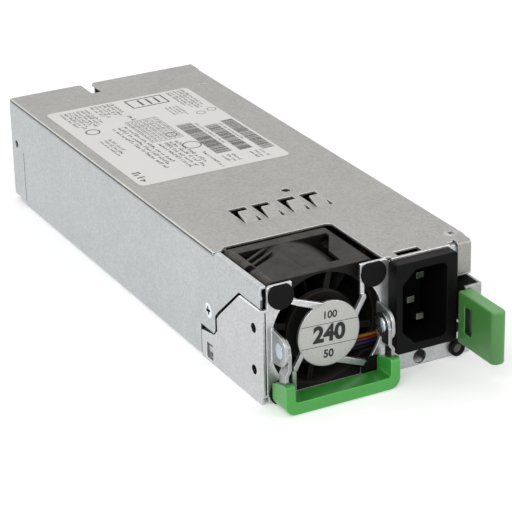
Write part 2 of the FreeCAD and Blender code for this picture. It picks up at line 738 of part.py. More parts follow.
def blade(index):
    """Twisted blade: radial slices turned step by step along the axis."""
    steps = 4
    wires = []
    y0 = rotor_y0 + 0.6
    y1 = rotor_y1 - 2.6
    for k in range(steps + 1):
        s = k / float(steps)
        y = y0 + (y1 - y0) * s
        turn = 360.0 * index / blade_count + blade_twist * s
        half = blade_t / 2.0 * (1.0 - 0.35 * abs(2 * s - 1))
        inner = rotor_hub_r - 0.7
        corners = [(inner, -half), (rotor_r, -half), (rotor_r, half), (inner, half)]
        pts = []
        for u, v in corners:
            c = math.cos(math.radians(turn))
            d = math.sin(math.radians(turn))
            pts.append(V(fan_x + u * c - v * d, y, fan_z + u * d + v * c))
        wires.append(Part.makePolygon(pts + [pts[0]]))
    return Part.makeLoft(wires, True, False)


def make_fan_rotor():
    cup = rod((fan_x, rotor_y0, fan_z), (0, 1, 0), rotor_hub_r, rotor_y1 - rotor_y0)
    hollow = rod((fan_x, rotor_y0 - 1, fan_z), (0, 1, 0), rotor_hub_r - 1.6, rotor_y1 - rotor_y0 - 0.6)
    cup = cup.cut(hollow)
    shaft = rod((fan_x, rotor_y0 + 0.6, fan_z), (0, 1, 0), 1.2, rotor_y1 - rotor_y0 - 1.0)
    return join([cup, shaft] + [blade(k) for k in range(blade_count)])


# ================================================================ handle
def handle_span():
    """Outer faces of the two arm heads."""
    x0 = lug_x + lug_t + arm_gap
    return x0, 2 * handle_x - x0


def make_bail():
    """Steel strip: two arms with round heads, necks set outwards, web between."""
    x0, x1 = handle_span()
    n0 = x0 - arm_set
    n1 = x1 + arm_set
    pts = [(x0, pivot_z), (x0, neck_z1), (n0, neck_z0), (n0, bail_z0),
           (n1, bail_z0), (n1, neck_z0), (x1, neck_z1), (x1, pivot_z)]
    strip = bent_sheet("xz", pts, arm_t, neck_y0, neck_y1, 0.6)
    heads = [rod((x0, pivot_y, pivot_z), (1, 0, 0), arm_head_r, arm_t),
             rod((x1 - arm_t, pivot_y, pivot_z), (1, 0, 0), arm_head_r, arm_t)]
    pin = rod((0, pivot_y, pivot_z), (1, 0, 0), pivot_rivet_r + pivot_clear, case_w)
    return minus(join([strip] + heads), [pin])


def make_grip():
    x0 = handle_x - grip_w / 2.0
    x1 = handle_x + grip_w / 2.0
    ring = [(x0, 15.0), (x0, grip_z0), (x1, grip_z0), (x1, 15.0), (x1 - grip_wall, 15.0),
            (x1 - grip_wall, grip_z0 + grip_bar_h), (x0 + grip_wall, grip_z0 + grip_bar_h), (x0 + grip_wall, 15.0)]
    radii = [0, grip_corner_r, grip_corner_r, 0, 0, 1.2, 1.2, 0]
    body = prism("xz", ring, grip_y0, grip_y1, radii)
    side = [(grip_y0, -1), (grip_y1, -1), (grip_y1, grip_rear_h), (grip_y0, grip_front_h)]
    body = body.common(prism("yz", side, 0, case_w, [0, 0, 0.8, 1.4]))
    body = body.cut(box(x0 + grip_wall, x1 - grip_wall, grip_bar_y1, 0, -1, 20))
    return minus(body, [make_bail()])


def make_handle_rivets():
    out = []
    x0, x1 = handle_span()
    for side in (0, 1):
        outer = lug_x
        inner = x0 + arm_t + arm_gap
        shank = rod((outer, pivot_y, pivot_z), (1, 0, 0), pivot_rivet_r, inner - outer)
        head = Part.makeCone(pivot_head_r - 0.9, pivot_head_r, 0.8, V(outer - 0.8, pivot_y, pivot_z), V(1, 0, 0))
        tail = Part.makeCone(pivot_head_r - 0.1, pivot_head_r - 1.0, 0.8, V(inner, pivot_y, pivot_z), V(1, 0, 0))
        rivet = join([shank, head, tail])
        if side:
            rivet = rivet.mirror(V(handle_x, 0, 0), V(1, 0, 0))
        out.append(rivet)
    return group(out)


# ================================================================ inlet
def inlet_centre():
    return inlet_x0 + inlet_w / 2.0, inlet_z0 + inlet_h / 2.0


def cavity_outline():
    """Six sided socket: the earth side has its corners cut."""
    cx, cz = inlet_centre()
    cx += cavity_shift
    w = cavity_w / 2.0
    h = cavity_h / 2.0
    c = cavity_cut
    return [(cx - w, cz - h + c), (cx - w + c, cz - h), (cx + w, cz - h),
            (cx + w, cz + h), (cx - w + c, cz + h), (cx - w, cz + h - c)]


def pin_places():
    """Line, neutral and earth: x and z of each pin."""
    cx, cz = inlet_centre()
    x = cx + cavity_shift + pin_line_x
    return [(x, cz + pin_pitch / 2.0), (x, cz - pin_pitch / 2.0), (x - pin_offset, cz)]


def make_inlet():
    cx, cz = inlet_centre()
    radii = [1.0] * 4
    block_pts = [(inlet_x0, inlet_z0), (inlet_x0 + inlet_w, inlet_z0),
                 (inlet_x0 + inlet_w, inlet_z0 + inlet_h), (inlet_x0, inlet_z0 + inlet_h)]
    block = prism("xz", block_pts, -inlet_proud, -0.85, radii)
    seat = prism("xz", [(inlet_x0, inlet_z0), (inlet_x0 + inlet_w, inlet_z0),
                        (inlet_x0 + inlet_w, inlet_z0 + inlet_h - 0.2), (inlet_x0, inlet_z0 + inlet_h - 0.2)],
                 -0.9, 0, radii)
    w = inlet_body_w / 2.0
    h = inlet_body_h / 2.0
    body = prism("xz", [(cx - w, cz - h), (cx + w, cz - h), (cx + w, cz + h), (cx - w, cz + h)],
                 -0.1, inlet_body_l, radii)
    snaps = []
    for sz in (-1, 1):
        z = cz + sz * h
        wedge = [(sheet_t + 0.1, z), (sheet_t + 0.1, z + sz * 0.9), (sheet_t + 3.0, z)]
        snaps.append(prism("yz", wedge, cx - 3.5, cx + 3.5))
    shape = join([block, seat, body] + snaps)
    cavity = prism("xz", cavity_outline(), -inlet_proud - 1, -inlet_proud + cavity_d,
                   [0.6, 0.6, 2.0, 2.0, 0.6, 0.6])
    slots = []
    for x, z in pin_places():
        slots.append(box(x - pin_w / 2, x + pin_w / 2, 0, inlet_body_l + 1, z - pin_t / 2, z + pin_t / 2))
    return minus(shape, [cavity] + slots)


def make_inlet_pins():
    """Three flat pins with round-nosed tips and solder tails."""
    out = []
    for k, (x, z) in enumerate(pin_places()):
        tip = -inlet_proud + pin_recess - (1.0 if k == 2 else 0.0)
        pts = [(x - pin_w / 2 + 0.7, tip), (x + pin_w / 2 - 0.7, tip), (x + pin_w / 2, tip + 1.2),
               (x + pin_w / 2, pin_tail_y), (x - pin_w / 2, pin_tail_y), (x - pin_w / 2, tip + 1.2)]
        out.append(prism("xy", pts, z - pin_t / 2, z + pin_t / 2))
    return group(out)


def make_inlet_lead(k):
    """Insulated wire from a pin's tail down to the board."""
    x, z = pin_places()[k]
    drop_y = (34.0, 27.5, 31.0)[k]
    pts = [(x, pin_tail_y + 0.05, z), (x, drop_y, z), (x, drop_y, board_top)]
    return lead(pts, 2.2, 1.1)


# ================================================================ latch
def leaf_rivet_heights():
    return (leaf_z0 + 4.0, leaf_z1 - 4.0)


def leaf_path():
    x1 = case_w - sheet_t
    return [(x1, leaf_pivot_y - 0.05), (x1, leaf_out_y), (case_w, leaf_out_y - 3.0), (case_w, leaf_end_y - leaf_t),
            (leaf_blade_x, leaf_end_y - leaf_t), (leaf_blade_x, leaf_blade_y)]


def make_leaf():
    """Moving part of the leaf: from its bending line forward into the tab."""
    body = bent_sheet("xy", leaf_path(), -leaf_t, leaf_z0, leaf_z1, 0.5)
    tooth = [(case_w - 0.2, tooth_y0), (case_w + tooth_h, tooth_y0), (case_w - 0.2, tooth_y1)]
    body = body.fuse(prism("xy", tooth, tooth_z0, tooth_z1))
    x0, x1 = leaf_blade_x - 2.0, leaf_blade_x + 2.6
    y0, y1 = leaf_blade_y - 1.0, leaf_end_y - leaf_t - 0.6
    trims = [box(x0, x1, y0, y1, leaf_z0 - 1, blade_z0), box(x0, x1, y0, y1, blade_z1, leaf_z1 + 1)]
    trims.append(rod((x0, -18.0, (blade_z0 + blade_z1) / 2), (1, 0, 0), 1.6, 5))
    return minus(body, trims)


def make_leaf_root():
    """Fixed end of the leaf, riveted inside the right wall."""
    x1 = case_w - sheet_t
    y0 = leaf_pivot_y + 0.05
    body = box(x1 - leaf_t, x1, y0, y0 + leaf_root_l, leaf_z0, leaf_z1)
    holes = [rod((x1 - 3, leaf_pivot_y + 5.0, z), (1, 0, 0), leaf_rivet_r, 6) for z in leaf_rivet_heights()]
    return minus(body, holes)


def make_leaf_rivets():
    out = []
    x1 = case_w - sheet_t - leaf_t
    for z in leaf_rivet_heights():
        shank = rod((x1, leaf_pivot_y + 5.0, z), (1, 0, 0), leaf_rivet_r, case_w - x1)
        head = Part.makeCone(1.4, 2.3, 0.8, V(x1 - 0.8, leaf_pivot_y + 5.0, z), V(1, 0, 0))
        out.append(shank.fuse(head).removeSplitter())
    return group(out)


def make_tab():
    """Moulded finger tab over the leaf's blade, with a window."""
    x1 = tab_x0 + tab_t
    pts = [(tab_x0, tab_y0), (x1, tab_y0), (x1, tab_y1), (tab_x0, tab_y1)]
    body = prism("xy", pts, tab_z0, tab_z1, [2.2, 2.2, 0.8, 0.8])
    lying = [e for e in body.Edges if abs(e.BoundBox.ZLength) < 1e-6]
    body = body.makeFillet(0.7, lying)
    y0, y1, z0, z1 = tab_window
    window = box(tab_x0 - 1, leaf_blade_x + 0.1, y0, y1, z0, z1)
    blade_part = make_leaf()
    return minus(body, [window, blade_part])


# ================================================================ small front pieces
def make_light_ring():
    ring = rod((led_x, -led_proud, led_z), (0, 1, 0), led_r, led_proud)
    collar = rod((led_x, -0.5, led_z), (0, 1, 0), led_r - 0.7, 5.0)
    bore = rod((led_x, -led_proud - 1, led_z), (0, 1, 0), lens_r, 10)
    return minus(ring.fuse(collar), [bore])


def make_light_pipe():
    return rod((led_x, -led_proud + 0.3, led_z), (0, 1, 0), lens_r, 8.0)


def make_screws():
    """Two countersunk case screws."""
    x, y = top_screw
    head = Part.makeCone(screw_shank_r, screw_head_r, sheet_t, V(x, y, case_h - sheet_t))
    shank = rod((x, y, case_h - 5.2), (0, 0, 1), screw_shank_r, 4.6)
    top = head.fuse(shank).removeSplitter()
    y, z = side_screw
    head = Part.makeCone(screw_head_r, screw_shank_r, screw_head_h - 0.4, V(0, y, z), V(1, 0, 0))
    shank = rod((0.7, y, z), (1, 0, 0), screw_shank_r, 3.4)
    side = head.fuse(shank).removeSplitter()
    return group([top, side])


def make_nuts():
    """Clinch nuts the case screws run into."""
    x, y = top_screw
    z1 = case_h - 2 * sheet_t - cover_seat
    top = rod((x, y, z1 - nut_h), (0, 0, 1), nut_r, nut_h)
    top = top.cut(rod((x, y, z1 - nut_h - 1), (0, 0, 1), screw_shank_r, nut_h + 2))
    y, z = side_screw
    x0 = 2 * sheet_t
    side = rod((x0, y, z), (1, 0, 0), nut_r, nut_h)
    side = side.cut(rod((x0 - 1, y, z), (1, 0, 0), screw_shank_r, nut_h + 2))
    return group([top, side])


def make_label():
    x0, x1, y0, y1 = label
    pts = [(x0, y0), (x1, y0), (x1, y1), (x0, y1)]
    return prism("xy", pts, case_h, case_h + label_t, [2.0] * 4)


def make_hub_label():
    return rod((fan_x, -guard_raise - label_t, fan_z), (0, 1, 0), hub_label_r, label_t)


# ================================================================ boards and parts inside
def standoff_places():
    right = case_w - 8.0
    return [(8.0, 41.5), (right, 60.0), (8.0, 110.0), (right, 112.0), (7.0, 166.0), (right, 166.0)]


def make_board():
    pts = [(board_nose_x0, board_nose_y), (board_nose_x1, board_nose_y), (board_nose_x1, board_y0),
           (board_x1, board_y0), (board_x1, board_y1), (edge_x1, board_y1), (edge_x1, edge_y1),
           (edge_x0, edge_y1), (edge_x0, board_y1), (board_x0, board_y1), (board_x0, board_y0),
           (board_nose_x0, board_y0)]
    body = prism("xy", pts, board_z, board_top)
    key = box(edge_x0 + 16.0, edge_x0 + 17.8, edge_y1 - 7.0, edge_y1 + 1, board_z - 1, board_top + 1)
    holes = [rod((x, y, board_z - 1), (0, 0, 1), 1.6, 4) for x, y in standoff_places()]
    return minus(body, [key] + holes)


def make_edge_contacts():
    """Gold pads on both faces of the board's rear edge."""
    out = []
    pitch = (edge_x1 - edge_x0 - 2.0) / pad_count
    for k in range(pad_count):
        x = edge_x0 + 1.0 + pitch * k
        if x + pitch > edge_x0 + 15.6 and x < edge_x0 + 18.2:
            continue
        for z in (board_z - contact_t, board_top):
            out.append(box(x + 0.2, x + pitch - 0.2, edge_y1 - 7.5, edge_y1 - 0.6, z, z + contact_t))
    return group(out)


def make_foil():
    pts = [(board_x0, board_y0), (board_x1, board_y0), (board_x1, foil_y1), (board_x0, foil_y1)]
    body = prism("xy", pts, sheet_t, sheet_t + foil_t)
    holes = [rod((x, y, 0), (0, 0, 1), 3.0, 3) for x, y in standoff_places()]
    return minus(body, holes)


def make_standoffs():
    out = []
    for x, y in standoff_places():
        post = rod((x, y, sheet_t), (0, 0, 1), standoff_r, board_z - sheet_t)
        out.append(post.cut(rod((x, y, sheet_t + 0.6), (0, 0, 1), standoff_hole_r, board_z)))
    return group(out)


def make_board_screws():
    out = []
    for x, y in standoff_places():
        head = Part.makeCone(board_screw_r, 2.0, 1.6, V(x, y, board_top))
        shank = rod((x, y, board_z - 2.0), (0, 0, 1), standoff_hole_r, board_t + 2.4)
        out.append(head.fuse(shank).removeSplitter())
    return group(out)


def make_bulk_capacitor():
    """Main capacitor lying along the case."""
    z = board_top + bulk_lift + bulk_r
    can = rod((bulk_x, bulk_y, z), (0, 1, 0), bulk_r, bulk_l)
    rim = [e for e in can.Edges if e.BoundBox.YLength < 1e-6]
    can = can.makeFillet(1.4, rim)
    groove = Part.makeTorus(bulk_r + 0.5, 1.1, V(bulk_x, bulk_y + 4.0, z), V(0, 1, 0))
    return minus(can, [groove])


def make_capacitor_cradle():
    """Adhesive bed that carries the lying capacitor."""
    z = board_top + bulk_lift + bulk_r
    bed = box(bulk_x - 9.0, bulk_x + 9.0, bulk_y + 7.0, bulk_y + bulk_l - 5.0, board_top, board_top + 4.4)
    return minus(bed, [rod((bulk_x, bulk_y - 5.0, z), (0, 1, 0), bulk_r, bulk_l + 10.0)])


def make_chokes():
    """Two wound ring cores standing behind the inlet."""
    out = []
    for x, y, r in chokes:
        y0 = y - choke_t / 2.0
        ring = rod((x, y0, board_top + r), (0, 1, 0), r, choke_t)
        ring = ring.cut(rod((x, y0 - 1.0, board_top + r), (0, 1, 0), r * 0.38, choke_t + 2.0))
        edges = [e for e in ring.Edges if e.BoundBox.YLength < 1e-6]
        out.append(ring.makeFillet(1.6, edges))
    return group(out)


def make_boost_choke():
    """Potted core: two plates, two legs and the round winding between."""
    x0, x1, y0, y1, h = boost
    z = board_top
    plate_t = 3.0
    low = rounded_bar(x0, x1, y0, y1, z, z + plate_t, 1.5)
    high = rounded_bar(x0, x1, y0, y1, z + h - plate_t, z + h, 1.5)
    post = rod(((x0 + x1) / 2.0, (y0 + y1) / 2.0, z + 1), (0, 0, 1), 10.0, h - 2.0)
    legs = [box(x, x + plate_t, y0 + 2.0, y1 - 2.0, z + 1, z + h - 1) for x in (x0, x1 - plate_t)]
    return join([low, high, post] + legs)


def make_transformer_core():
    """Square ring with a middle leg, lying on its bobbin."""
    z = board_top + core_lift
    slab = box(core_x0, core_x0 + core_w, core_y0, core_y1, z, z + core_h)
    windows = [box(x, x + 5.0, core_y0 - 1, core_y1 + 1, z + 4.5, z + core_h - 4.5)
               for x in (core_x0 + 5.0, core_x0 + core_w - 10.0)]
    return minus(slab, windows)


def make_transformer_winding():
    """Winding through both windows, with the bobbin's two feet."""
    z = board_top
    x0 = core_x0 + 5.1
    x1 = core_x0 + core_w - 5.1
    outer = rounded_bar(x0, x1, core_y0 - 4.0, core_y1 + 4.0, z + 7.6, z + 21.4, 3.0)
    inner = box(x0 + 4.8, x1 - 4.8, core_y0 - 0.1, core_y1 + 0.1, z, z + 30)
    front = box(x0, x1, core_y0 - 5.0, core_y0 - 0.1, z, z + 7.6)
    rear = box(x0, x1, core_y1 + 0.1, core_y1 + 5.0, z, z + 7.6)
    return join([outer.cut(inner), front, rear])


def finned_sink(x0, y0, y1, x_end):
    """Upright plate with fins along its length, reaching to x_end."""
    z = board_top
    plate = box(x0, x0 + sink_t, y0, y1, z, z + sink_h)
    a, b = sorted([x0 + sink_t / 2.0, x_end])
    fins = []
    for k in range(sink_fins):
        zk = z + 3.0 + (sink_h - 5.0) * k / (sink_fins - 1)
        fins.append(box(a, b, y0, y1, zk, zk + 1.0))
    return join([plate] + fins)


def make_heat_sinks():
    left = core_x0 - 5.1
    right = core_x0 + core_w + 1.6
    return group([finned_sink(left, 98.0, 150.0, left - 4.0), finned_sink(right, 118.0, 160.0, right - 1.2)])


def make_transistors():
    """Flat power devices bolted to the left heat sink."""
    z = board_top + 6.0
    x0 = core_x0 - 5.1 + sink_t
    return group([box(x0, x0 + 2.2, y, y + 9.0, z, z + 14.0) for y in (101.0, 112.0, 123.0, 134.0)])


def make_film_capacitors():
    places = ((case_w - 9.0, 38.0, 5.5, 16.0, 13.0), (core_x0 + 0.8, 104.5, 22.0, 6.5, 14.0),
              (power_x + 8.0, 98.0, 17.0, 7.0, 13.0))
    return group([rounded_bar(x, x + dx, y, y + dy, board_top, board_top + dz, 0.8)
                  for x, y, dx, dy, dz in places])


def make_relay():
    x0 = power_x + 8.0
    return rounded_bar(x0, x0 + 16.0, 113.4, 125.4, board_top, board_top + 15.0, 0.6)


def make_fuse():
    """Round cartridge with a flat where it stands on the board."""
    body = rod((case_w - 25.0, 56.0, board_top + 2.4), (1, 0, 0), 2.6, 14.0)
    return body.common(box(0, case_w, 50, 60, board_top, 30))


def make_bridge():
    x0 = case_w - 34.5
    body = box(x0, x0 + 21.5, 73.0, 76.6, board_top, board_top + 18.0)
    return minus(body, [rod((x0 + 10.7, 72.0, board_top + 13.0), (0, 1, 0), 1.7, 6)])


def make_output_capacitors():
    return group([rod((out_cap_x + out_cap_pitch * col, out_cap_y + out_cap_pitch * row, board_top), (0, 0, 1),
                      out_cap_r, out_cap_h) for row in range(2) for col in range(4)])


def make_output_chokes():
    x0 = power_x + 8.0
    return group([rounded_bar(x0, x0 + 16.0, y, y + 11.0, board_top, board_top + 12.0, 1.5) for y in (128.0, 141.0)])


def make_control_board():
    """Upright daughter board."""
    return box(control_x, control_x + control_t, control_y0, control_y1, board_top, board_top + control_h)


def make_control_chips():
    places = ((104.0, 6.4, 9.0, 9.0), (118.0, 7.4, 7.0, 7.0), (132.0, 3.4, 10.0, 6.0), (132.0, 12.4, 6.0, 4.0))
    return group([box(control_x - chip_t, control_x, y, y + w, board_top + z, board_top + z + h)
                  for y, z, w, h in places])


def make_bus_bars():
    """Two copper angles from the transformer's side to the rear edge."""
    out = []
    for x0 in (power_x + 24.0, power_x + 40.0):
        foot = box(x0, x0 + 8.0, 147.5, 152.4, board_top, board_top + 1.2)
        wall = box(x0, x0 + 8.0, 151.2, 152.4, board_top, board_top + 9.0)
        out.append(join([foot, wall]))
    return group(out)


# ================================================================ fan wiring
def make_fan_lead(k):
    """One of the four fan wires: from the motor plate back to the plug."""
    dz = -lead_first - lead_step * k
    y = fan_y + 0.7
    x0 = fan_x + math.sqrt(motor_r ** 2 - (dz + lead_r) ** 2) + 0.15
    x1 = fan_x + fan_size / 2.0 + 0.9
    return lead([(x0, y, fan_z + dz), (x1, y, fan_z + dz), (x1, plug_y0 + 1.0, fan_z + dz)], 1.4, lead_r)


def make_fan_plug():
    x = fan_x + fan_size / 2.0 + 0.9
    z_low = fan_z - lead_first - 3 * lead_step - 1.2
    z_high = fan_z - lead_first + 1.2
    body = box(x - 1.5, x + 1.5, plug_y0, plug_y0 + 5.0, z_low, z_high)
    bores = [rod((x, plug_y0 - 1, fan_z - lead_first - lead_step * k), (0, 1, 0), lead_r, 2.0) for k in range(4)]
    return minus(body, bores)


def make_fan_header():
    """Upright header on the board that takes the fan's plug."""
    x = fan_x + fan_size / 2.0 + 0.9
    z_high = fan_z - lead_first + 2.4
    wall = box(x - 2.4, x + 2.4, plug_y0 + 5.0, plug_y0 + 6.6, board_top, z_high)
    foot = box(x - 2.4, x + 2.4, plug_y0 + 1.0, plug_y0 + 6.6, board_top, fan_z - lead_first - 3 * lead_step - 1.2)
    return join([wall, foot])


# ================================================================ write
def write(name, shape):
    shape = shape.copy()
    shape.translate(V(-case_w / 2.0, -case_l / 2.0, 0))
    if len(shape.Solids) == 1 and shape.ShapeType == "Compound":
        shape = shape.Solids[0]
    shape.exportStep("parts/" + name + ".step")


def main():
    os.makedirs("parts", exist_ok=True)
    pieces = {
        "chassis_tray": make_tray(),
        "top_cover": make_cover(),
        "rear_panel": make_rear_panel(),
        "fan_stop": make_fan_stop(),
        "front_bracket": make_bracket(),
        "rubber_rivets": make_rubber_rivets(),
        "fan_frame": make_fan_frame(),
        "fan_stator": make_fan_stator(),
        "fan_rotor": make_fan_rotor(),
        "handle_bail": make_bail(),
        "handle_grip": make_grip(),
        "handle_rivets": make_handle_rivets(),
        "inlet_housing": make_inlet(),
        "inlet_pins": make_inlet_pins(),
        "inlet_lead_line": make_inlet_lead(0),
        "inlet_lead_neutral": make_inlet_lead(1),
        "inlet_lead_earth": make_inlet_lead(2),
        "latch_leaf": make_leaf(),
        "latch_root": make_leaf_root(),
        "latch_rivets": make_leaf_rivets(),
        "latch_tab": make_tab(),
        "light_ring": make_light_ring(),
        "light_pipe": make_light_pipe(),
        "case_screws": make_screws(),
        "clinch_nuts": make_nuts(),
        "rating_label": make_label(),
        "hub_label": make_hub_label(),
        "main_board": make_board(),
        "edge_contacts": make_edge_contacts(),
        "insulating_foil": make_foil(),
        "board_standoffs": make_standoffs(),
        "board_screws": make_board_screws(),
        "bulk_capacitor": make_bulk_capacitor(),
        "capacitor_cradle": make_capacitor_cradle(),
        "filter_chokes": make_chokes(),
        "boost_choke": make_boost_choke(),
        "transformer_core": make_transformer_core(),
        "transformer_winding": make_transformer_winding(),
        "heat_sinks": make_heat_sinks(),
        "power_transistors": make_transistors(),
        "film_capacitors": make_film_capacitors(),
        "inrush_relay": make_relay(),
        "input_fuse": make_fuse(),
        "bridge_rectifier": make_bridge(),
        "output_capacitors": make_output_capacitors(),
        "output_chokes": make_output_chokes(),
        "control_board": make_control_board(),
        "control_chips": make_control_chips(),
        "bus_bars": make_bus_bars(),
        "fan_plug": make_fan_plug(),
        "fan_header": make_fan_header(),
    }
    for k, colour in enumerate(("yellow", "red", "blue", "black")):
        pieces["fan_lead_" + colour] = make_fan_lead(k)
    for name, shape in pieces.items():
        write(name, shape)


main()
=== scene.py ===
"""Looks of the hot swap server power supply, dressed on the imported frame.

Metres, in the part's own frame: X to the right, Y to the rear, Z up, with the
origin in the middle of the case's base.
"""
import json
import math
import random

import bmesh
import bpy
from mathutils import Matrix, Vector


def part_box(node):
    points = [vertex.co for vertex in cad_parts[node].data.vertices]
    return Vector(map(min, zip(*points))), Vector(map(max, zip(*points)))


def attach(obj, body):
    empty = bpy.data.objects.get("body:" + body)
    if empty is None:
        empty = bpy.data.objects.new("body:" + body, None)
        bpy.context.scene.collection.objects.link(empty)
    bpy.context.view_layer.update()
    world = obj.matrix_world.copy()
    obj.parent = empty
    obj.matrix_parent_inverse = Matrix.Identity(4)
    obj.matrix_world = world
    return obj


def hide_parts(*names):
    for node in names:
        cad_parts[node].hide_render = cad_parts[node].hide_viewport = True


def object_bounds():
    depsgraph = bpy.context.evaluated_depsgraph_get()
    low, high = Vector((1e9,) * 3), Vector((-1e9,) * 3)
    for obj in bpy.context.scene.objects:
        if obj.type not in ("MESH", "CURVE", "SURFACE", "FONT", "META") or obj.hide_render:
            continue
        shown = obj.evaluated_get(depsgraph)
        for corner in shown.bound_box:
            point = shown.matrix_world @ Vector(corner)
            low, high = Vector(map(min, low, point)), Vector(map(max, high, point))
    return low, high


MM = 0.001
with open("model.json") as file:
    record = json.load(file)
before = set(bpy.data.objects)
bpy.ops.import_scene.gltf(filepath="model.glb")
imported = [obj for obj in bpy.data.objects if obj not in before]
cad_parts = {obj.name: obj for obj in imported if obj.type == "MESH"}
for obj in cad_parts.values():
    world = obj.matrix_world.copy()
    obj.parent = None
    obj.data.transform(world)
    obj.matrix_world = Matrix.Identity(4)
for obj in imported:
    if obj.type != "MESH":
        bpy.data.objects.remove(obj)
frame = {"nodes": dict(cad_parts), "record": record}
cad_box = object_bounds()
NODES = frame["nodes"]
SLOT_OF = {row["node"]: row["material_slot"] for row in frame["record"]["subparts"]}
CASE_LOW, CASE_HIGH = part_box("chassis_tray")

INK_T = 0.02 * MM        # thickness of the print on the rating label
FLAT_COS = 0.992         # edge mask: the rounded normal leans this little on flats
EDGE_COS = 0.88          # and this far on full edges
MASK_SOFT = 0.02 * MM    # half the width over which a zone fades in
WORLD_LIGHT = 0.55       # strength of the surroundings as light
NEAR_LIFT = 0.30         # glow that makes the lit floor read white
FAR_LIFT = 0.70          # further glow where the lamps don't reach


# ================================================================ finishes
class Nodes:
    """Short ways to add and join the nodes of one shader tree."""

    def __init__(self, tree):
        self.tree = tree

    def node(self, kind, **settings):
        made = self.tree.nodes.new(kind)
        for key, value in settings.items():
            setattr(made, key, value)
        return made

    def link(self, source, target):
        """Joins an output to an input, or writes a plain value into it."""
        if isinstance(source, bpy.types.NodeSocket):
            self.tree.links.new(source, target)
        else:
            target.default_value = source

    def span(self, value, low, high, to_low=0.0, to_high=1.0):
        """Maps low..high of a value to to_low..to_high, clamped."""
        made = self.node("ShaderNodeMapRange")
        self.link(value, made.inputs["Value"])
        for name, number in (("From Min", low), ("From Max", high), ("To Min", to_low), ("To Max", to_high)):
            made.inputs[name].default_value = number
        return made.outputs[0]

    def math(self, operation, a, b=0.0):
        made = self.node("ShaderNodeMath", operation=operation)
        self.link(a, made.inputs[0])
        self.link(b, made.inputs[1])
        return made.outputs[0]


class Finish(Nodes):
    """A node material: one Principled shader fed with procedural detail."""

    def __init__(self, name, metallic=0.0, specular=0.5, coat=0.0):
        self.material = bpy.data.materials.new(name)
        self.material.use_nodes = True
        super().__init__(self.material.node_tree)
        self.shader = self.tree.nodes["Principled BSDF"]
        self.shader.inputs["Metallic"].default_value = metallic
        self.shader.inputs["Specular IOR Level"].default_value = specular
        self.shader.inputs["Coat Weight"].default_value = coat
        self.shader.inputs["Coat Roughness"].default_value = 0.2
        self.place = self.node("ShaderNodeTexCoord").outputs["Object"]

    def stretched(self, stretch):
        """The place scaled along each axis, for detail that runs one way."""
        made = self.node("ShaderNodeVectorMath", operation="MULTIPLY")
        self.link(self.place, made.inputs[0])
        made.inputs[1].default_value = stretch
        return made.outputs[0]

    def noise(self, size, detail=2.0, rough=0.5, stretch=None):
        made = self.node("ShaderNodeTexNoise")
        self.link(self.stretched(stretch) if stretch else self.place, made.inputs["Vector"])
        made.inputs["Scale"].default_value = 1.0 / size
        made.inputs["Detail"].default_value = detail
        made.inputs["Roughness"].default_value = rough
        return made.outputs[0]

    def cells(self, size, output="Color"):
        made = self.node("ShaderNodeTexVoronoi")
        self.link(self.place, made.inputs["Vector"])
        made.inputs["Scale"].default_value = 1.0 / size
        return made.outputs[output]

    def mix(self, factor, a, b, blend="MIX"):
        made = self.node("ShaderNodeMix", data_type="RGBA", blend_type=blend)
        self.link(factor, made.inputs[0])
        self.link(rgba(a), made.inputs[6])
        self.link(rgba(b), made.inputs[7])
        return made.outputs[2]

    def grey(self, colour):
        made = self.node("ShaderNodeSeparateColor")
        self.link(colour, made.inputs[0])
        return made.outputs[0]

    def soft_edge(self, radius):
        """The normal with every edge rounded to radius."""
        made = self.node("ShaderNodeBevel", samples=6)
        made.inputs["Radius"].default_value = radius
        return made.outputs[0]

    def edge_mask(self, radius):
        """1 on the edges, 0 on the flats."""
        geometry = self.node("ShaderNodeNewGeometry")
        made = self.node("ShaderNodeVectorMath", operation="DOT_PRODUCT")
        self.link(self.soft_edge(radius), made.inputs[0])
        self.link(geometry.outputs["Normal"], made.inputs[1])
        return self.span(made.outputs["Value"], FLAT_COS, EDGE_COS)

    def axis_mask(self, vector, axis, low, high):
        """0 where the vector's part along an axis is at low or less, 1 from high on."""
        made = self.node("ShaderNodeSeparateXYZ")
        self.link(vector, made.inputs[0])
        return self.span(made.outputs[axis], low, high)

    def facing(self, axis, sign):
        """1 on faces that look along an axis (0, 1, 2) with that sign."""
        normal = self.node("ShaderNodeNewGeometry").outputs["True Normal"]
        return self.axis_mask(normal, axis, sign * 0.55, sign * 0.80)

    def within(self, low, high):
        """1 inside a box: two corners, in millimetres from the case's front left bottom corner."""
        mask = 1.0
        for axis in range(3):
            for limit, fade in ((low[axis], MASK_SOFT), (high[axis], -MASK_SOFT)):
                edge = CASE_LOW[axis] + limit * MM
                mask = self.math("MULTIPLY", self.axis_mask(self.place, axis, edge - fade, edge + fade), mask)
        return mask

    def less(self, mask, other):
        """mask without what the other mask covers."""
        return self.math("MULTIPLY", mask, self.math("SUBTRACT", 1.0, other))

    def toned(self, tone, masks):
        """The tone, multiplied by a grey factor wherever each mask is 1."""
        for mask, factor in masks:
            tone = self.mix(mask, tone, self.mix(1.0, tone, (factor, factor, factor), "MULTIPLY"))
        return tone

    def bump(self, height, depth, normal=None):
        made = self.node("ShaderNodeBump")
        self.link(height, made.inputs["Height"])
        made.inputs["Distance"].default_value = depth
        if normal is not None:
            self.link(normal, made.inputs["Normal"])
        return made.outputs[0]

    def set(self, colour, roughness, normal):
        self.link(rgba(colour), self.shader.inputs["Base Color"])
        self.link(roughness, self.shader.inputs["Roughness"])
        self.link(normal, self.shader.inputs["Normal"])
        return self.material


def rgba(colour):
    """Three numbers with the fourth that a colour socket wants."""
    return (*colour, 1.0) if isinstance(colour, tuple) and len(colour) == 3 else colour


def shade(colour, factor):
    return tuple(min(1.0, c * factor) for c in colour)


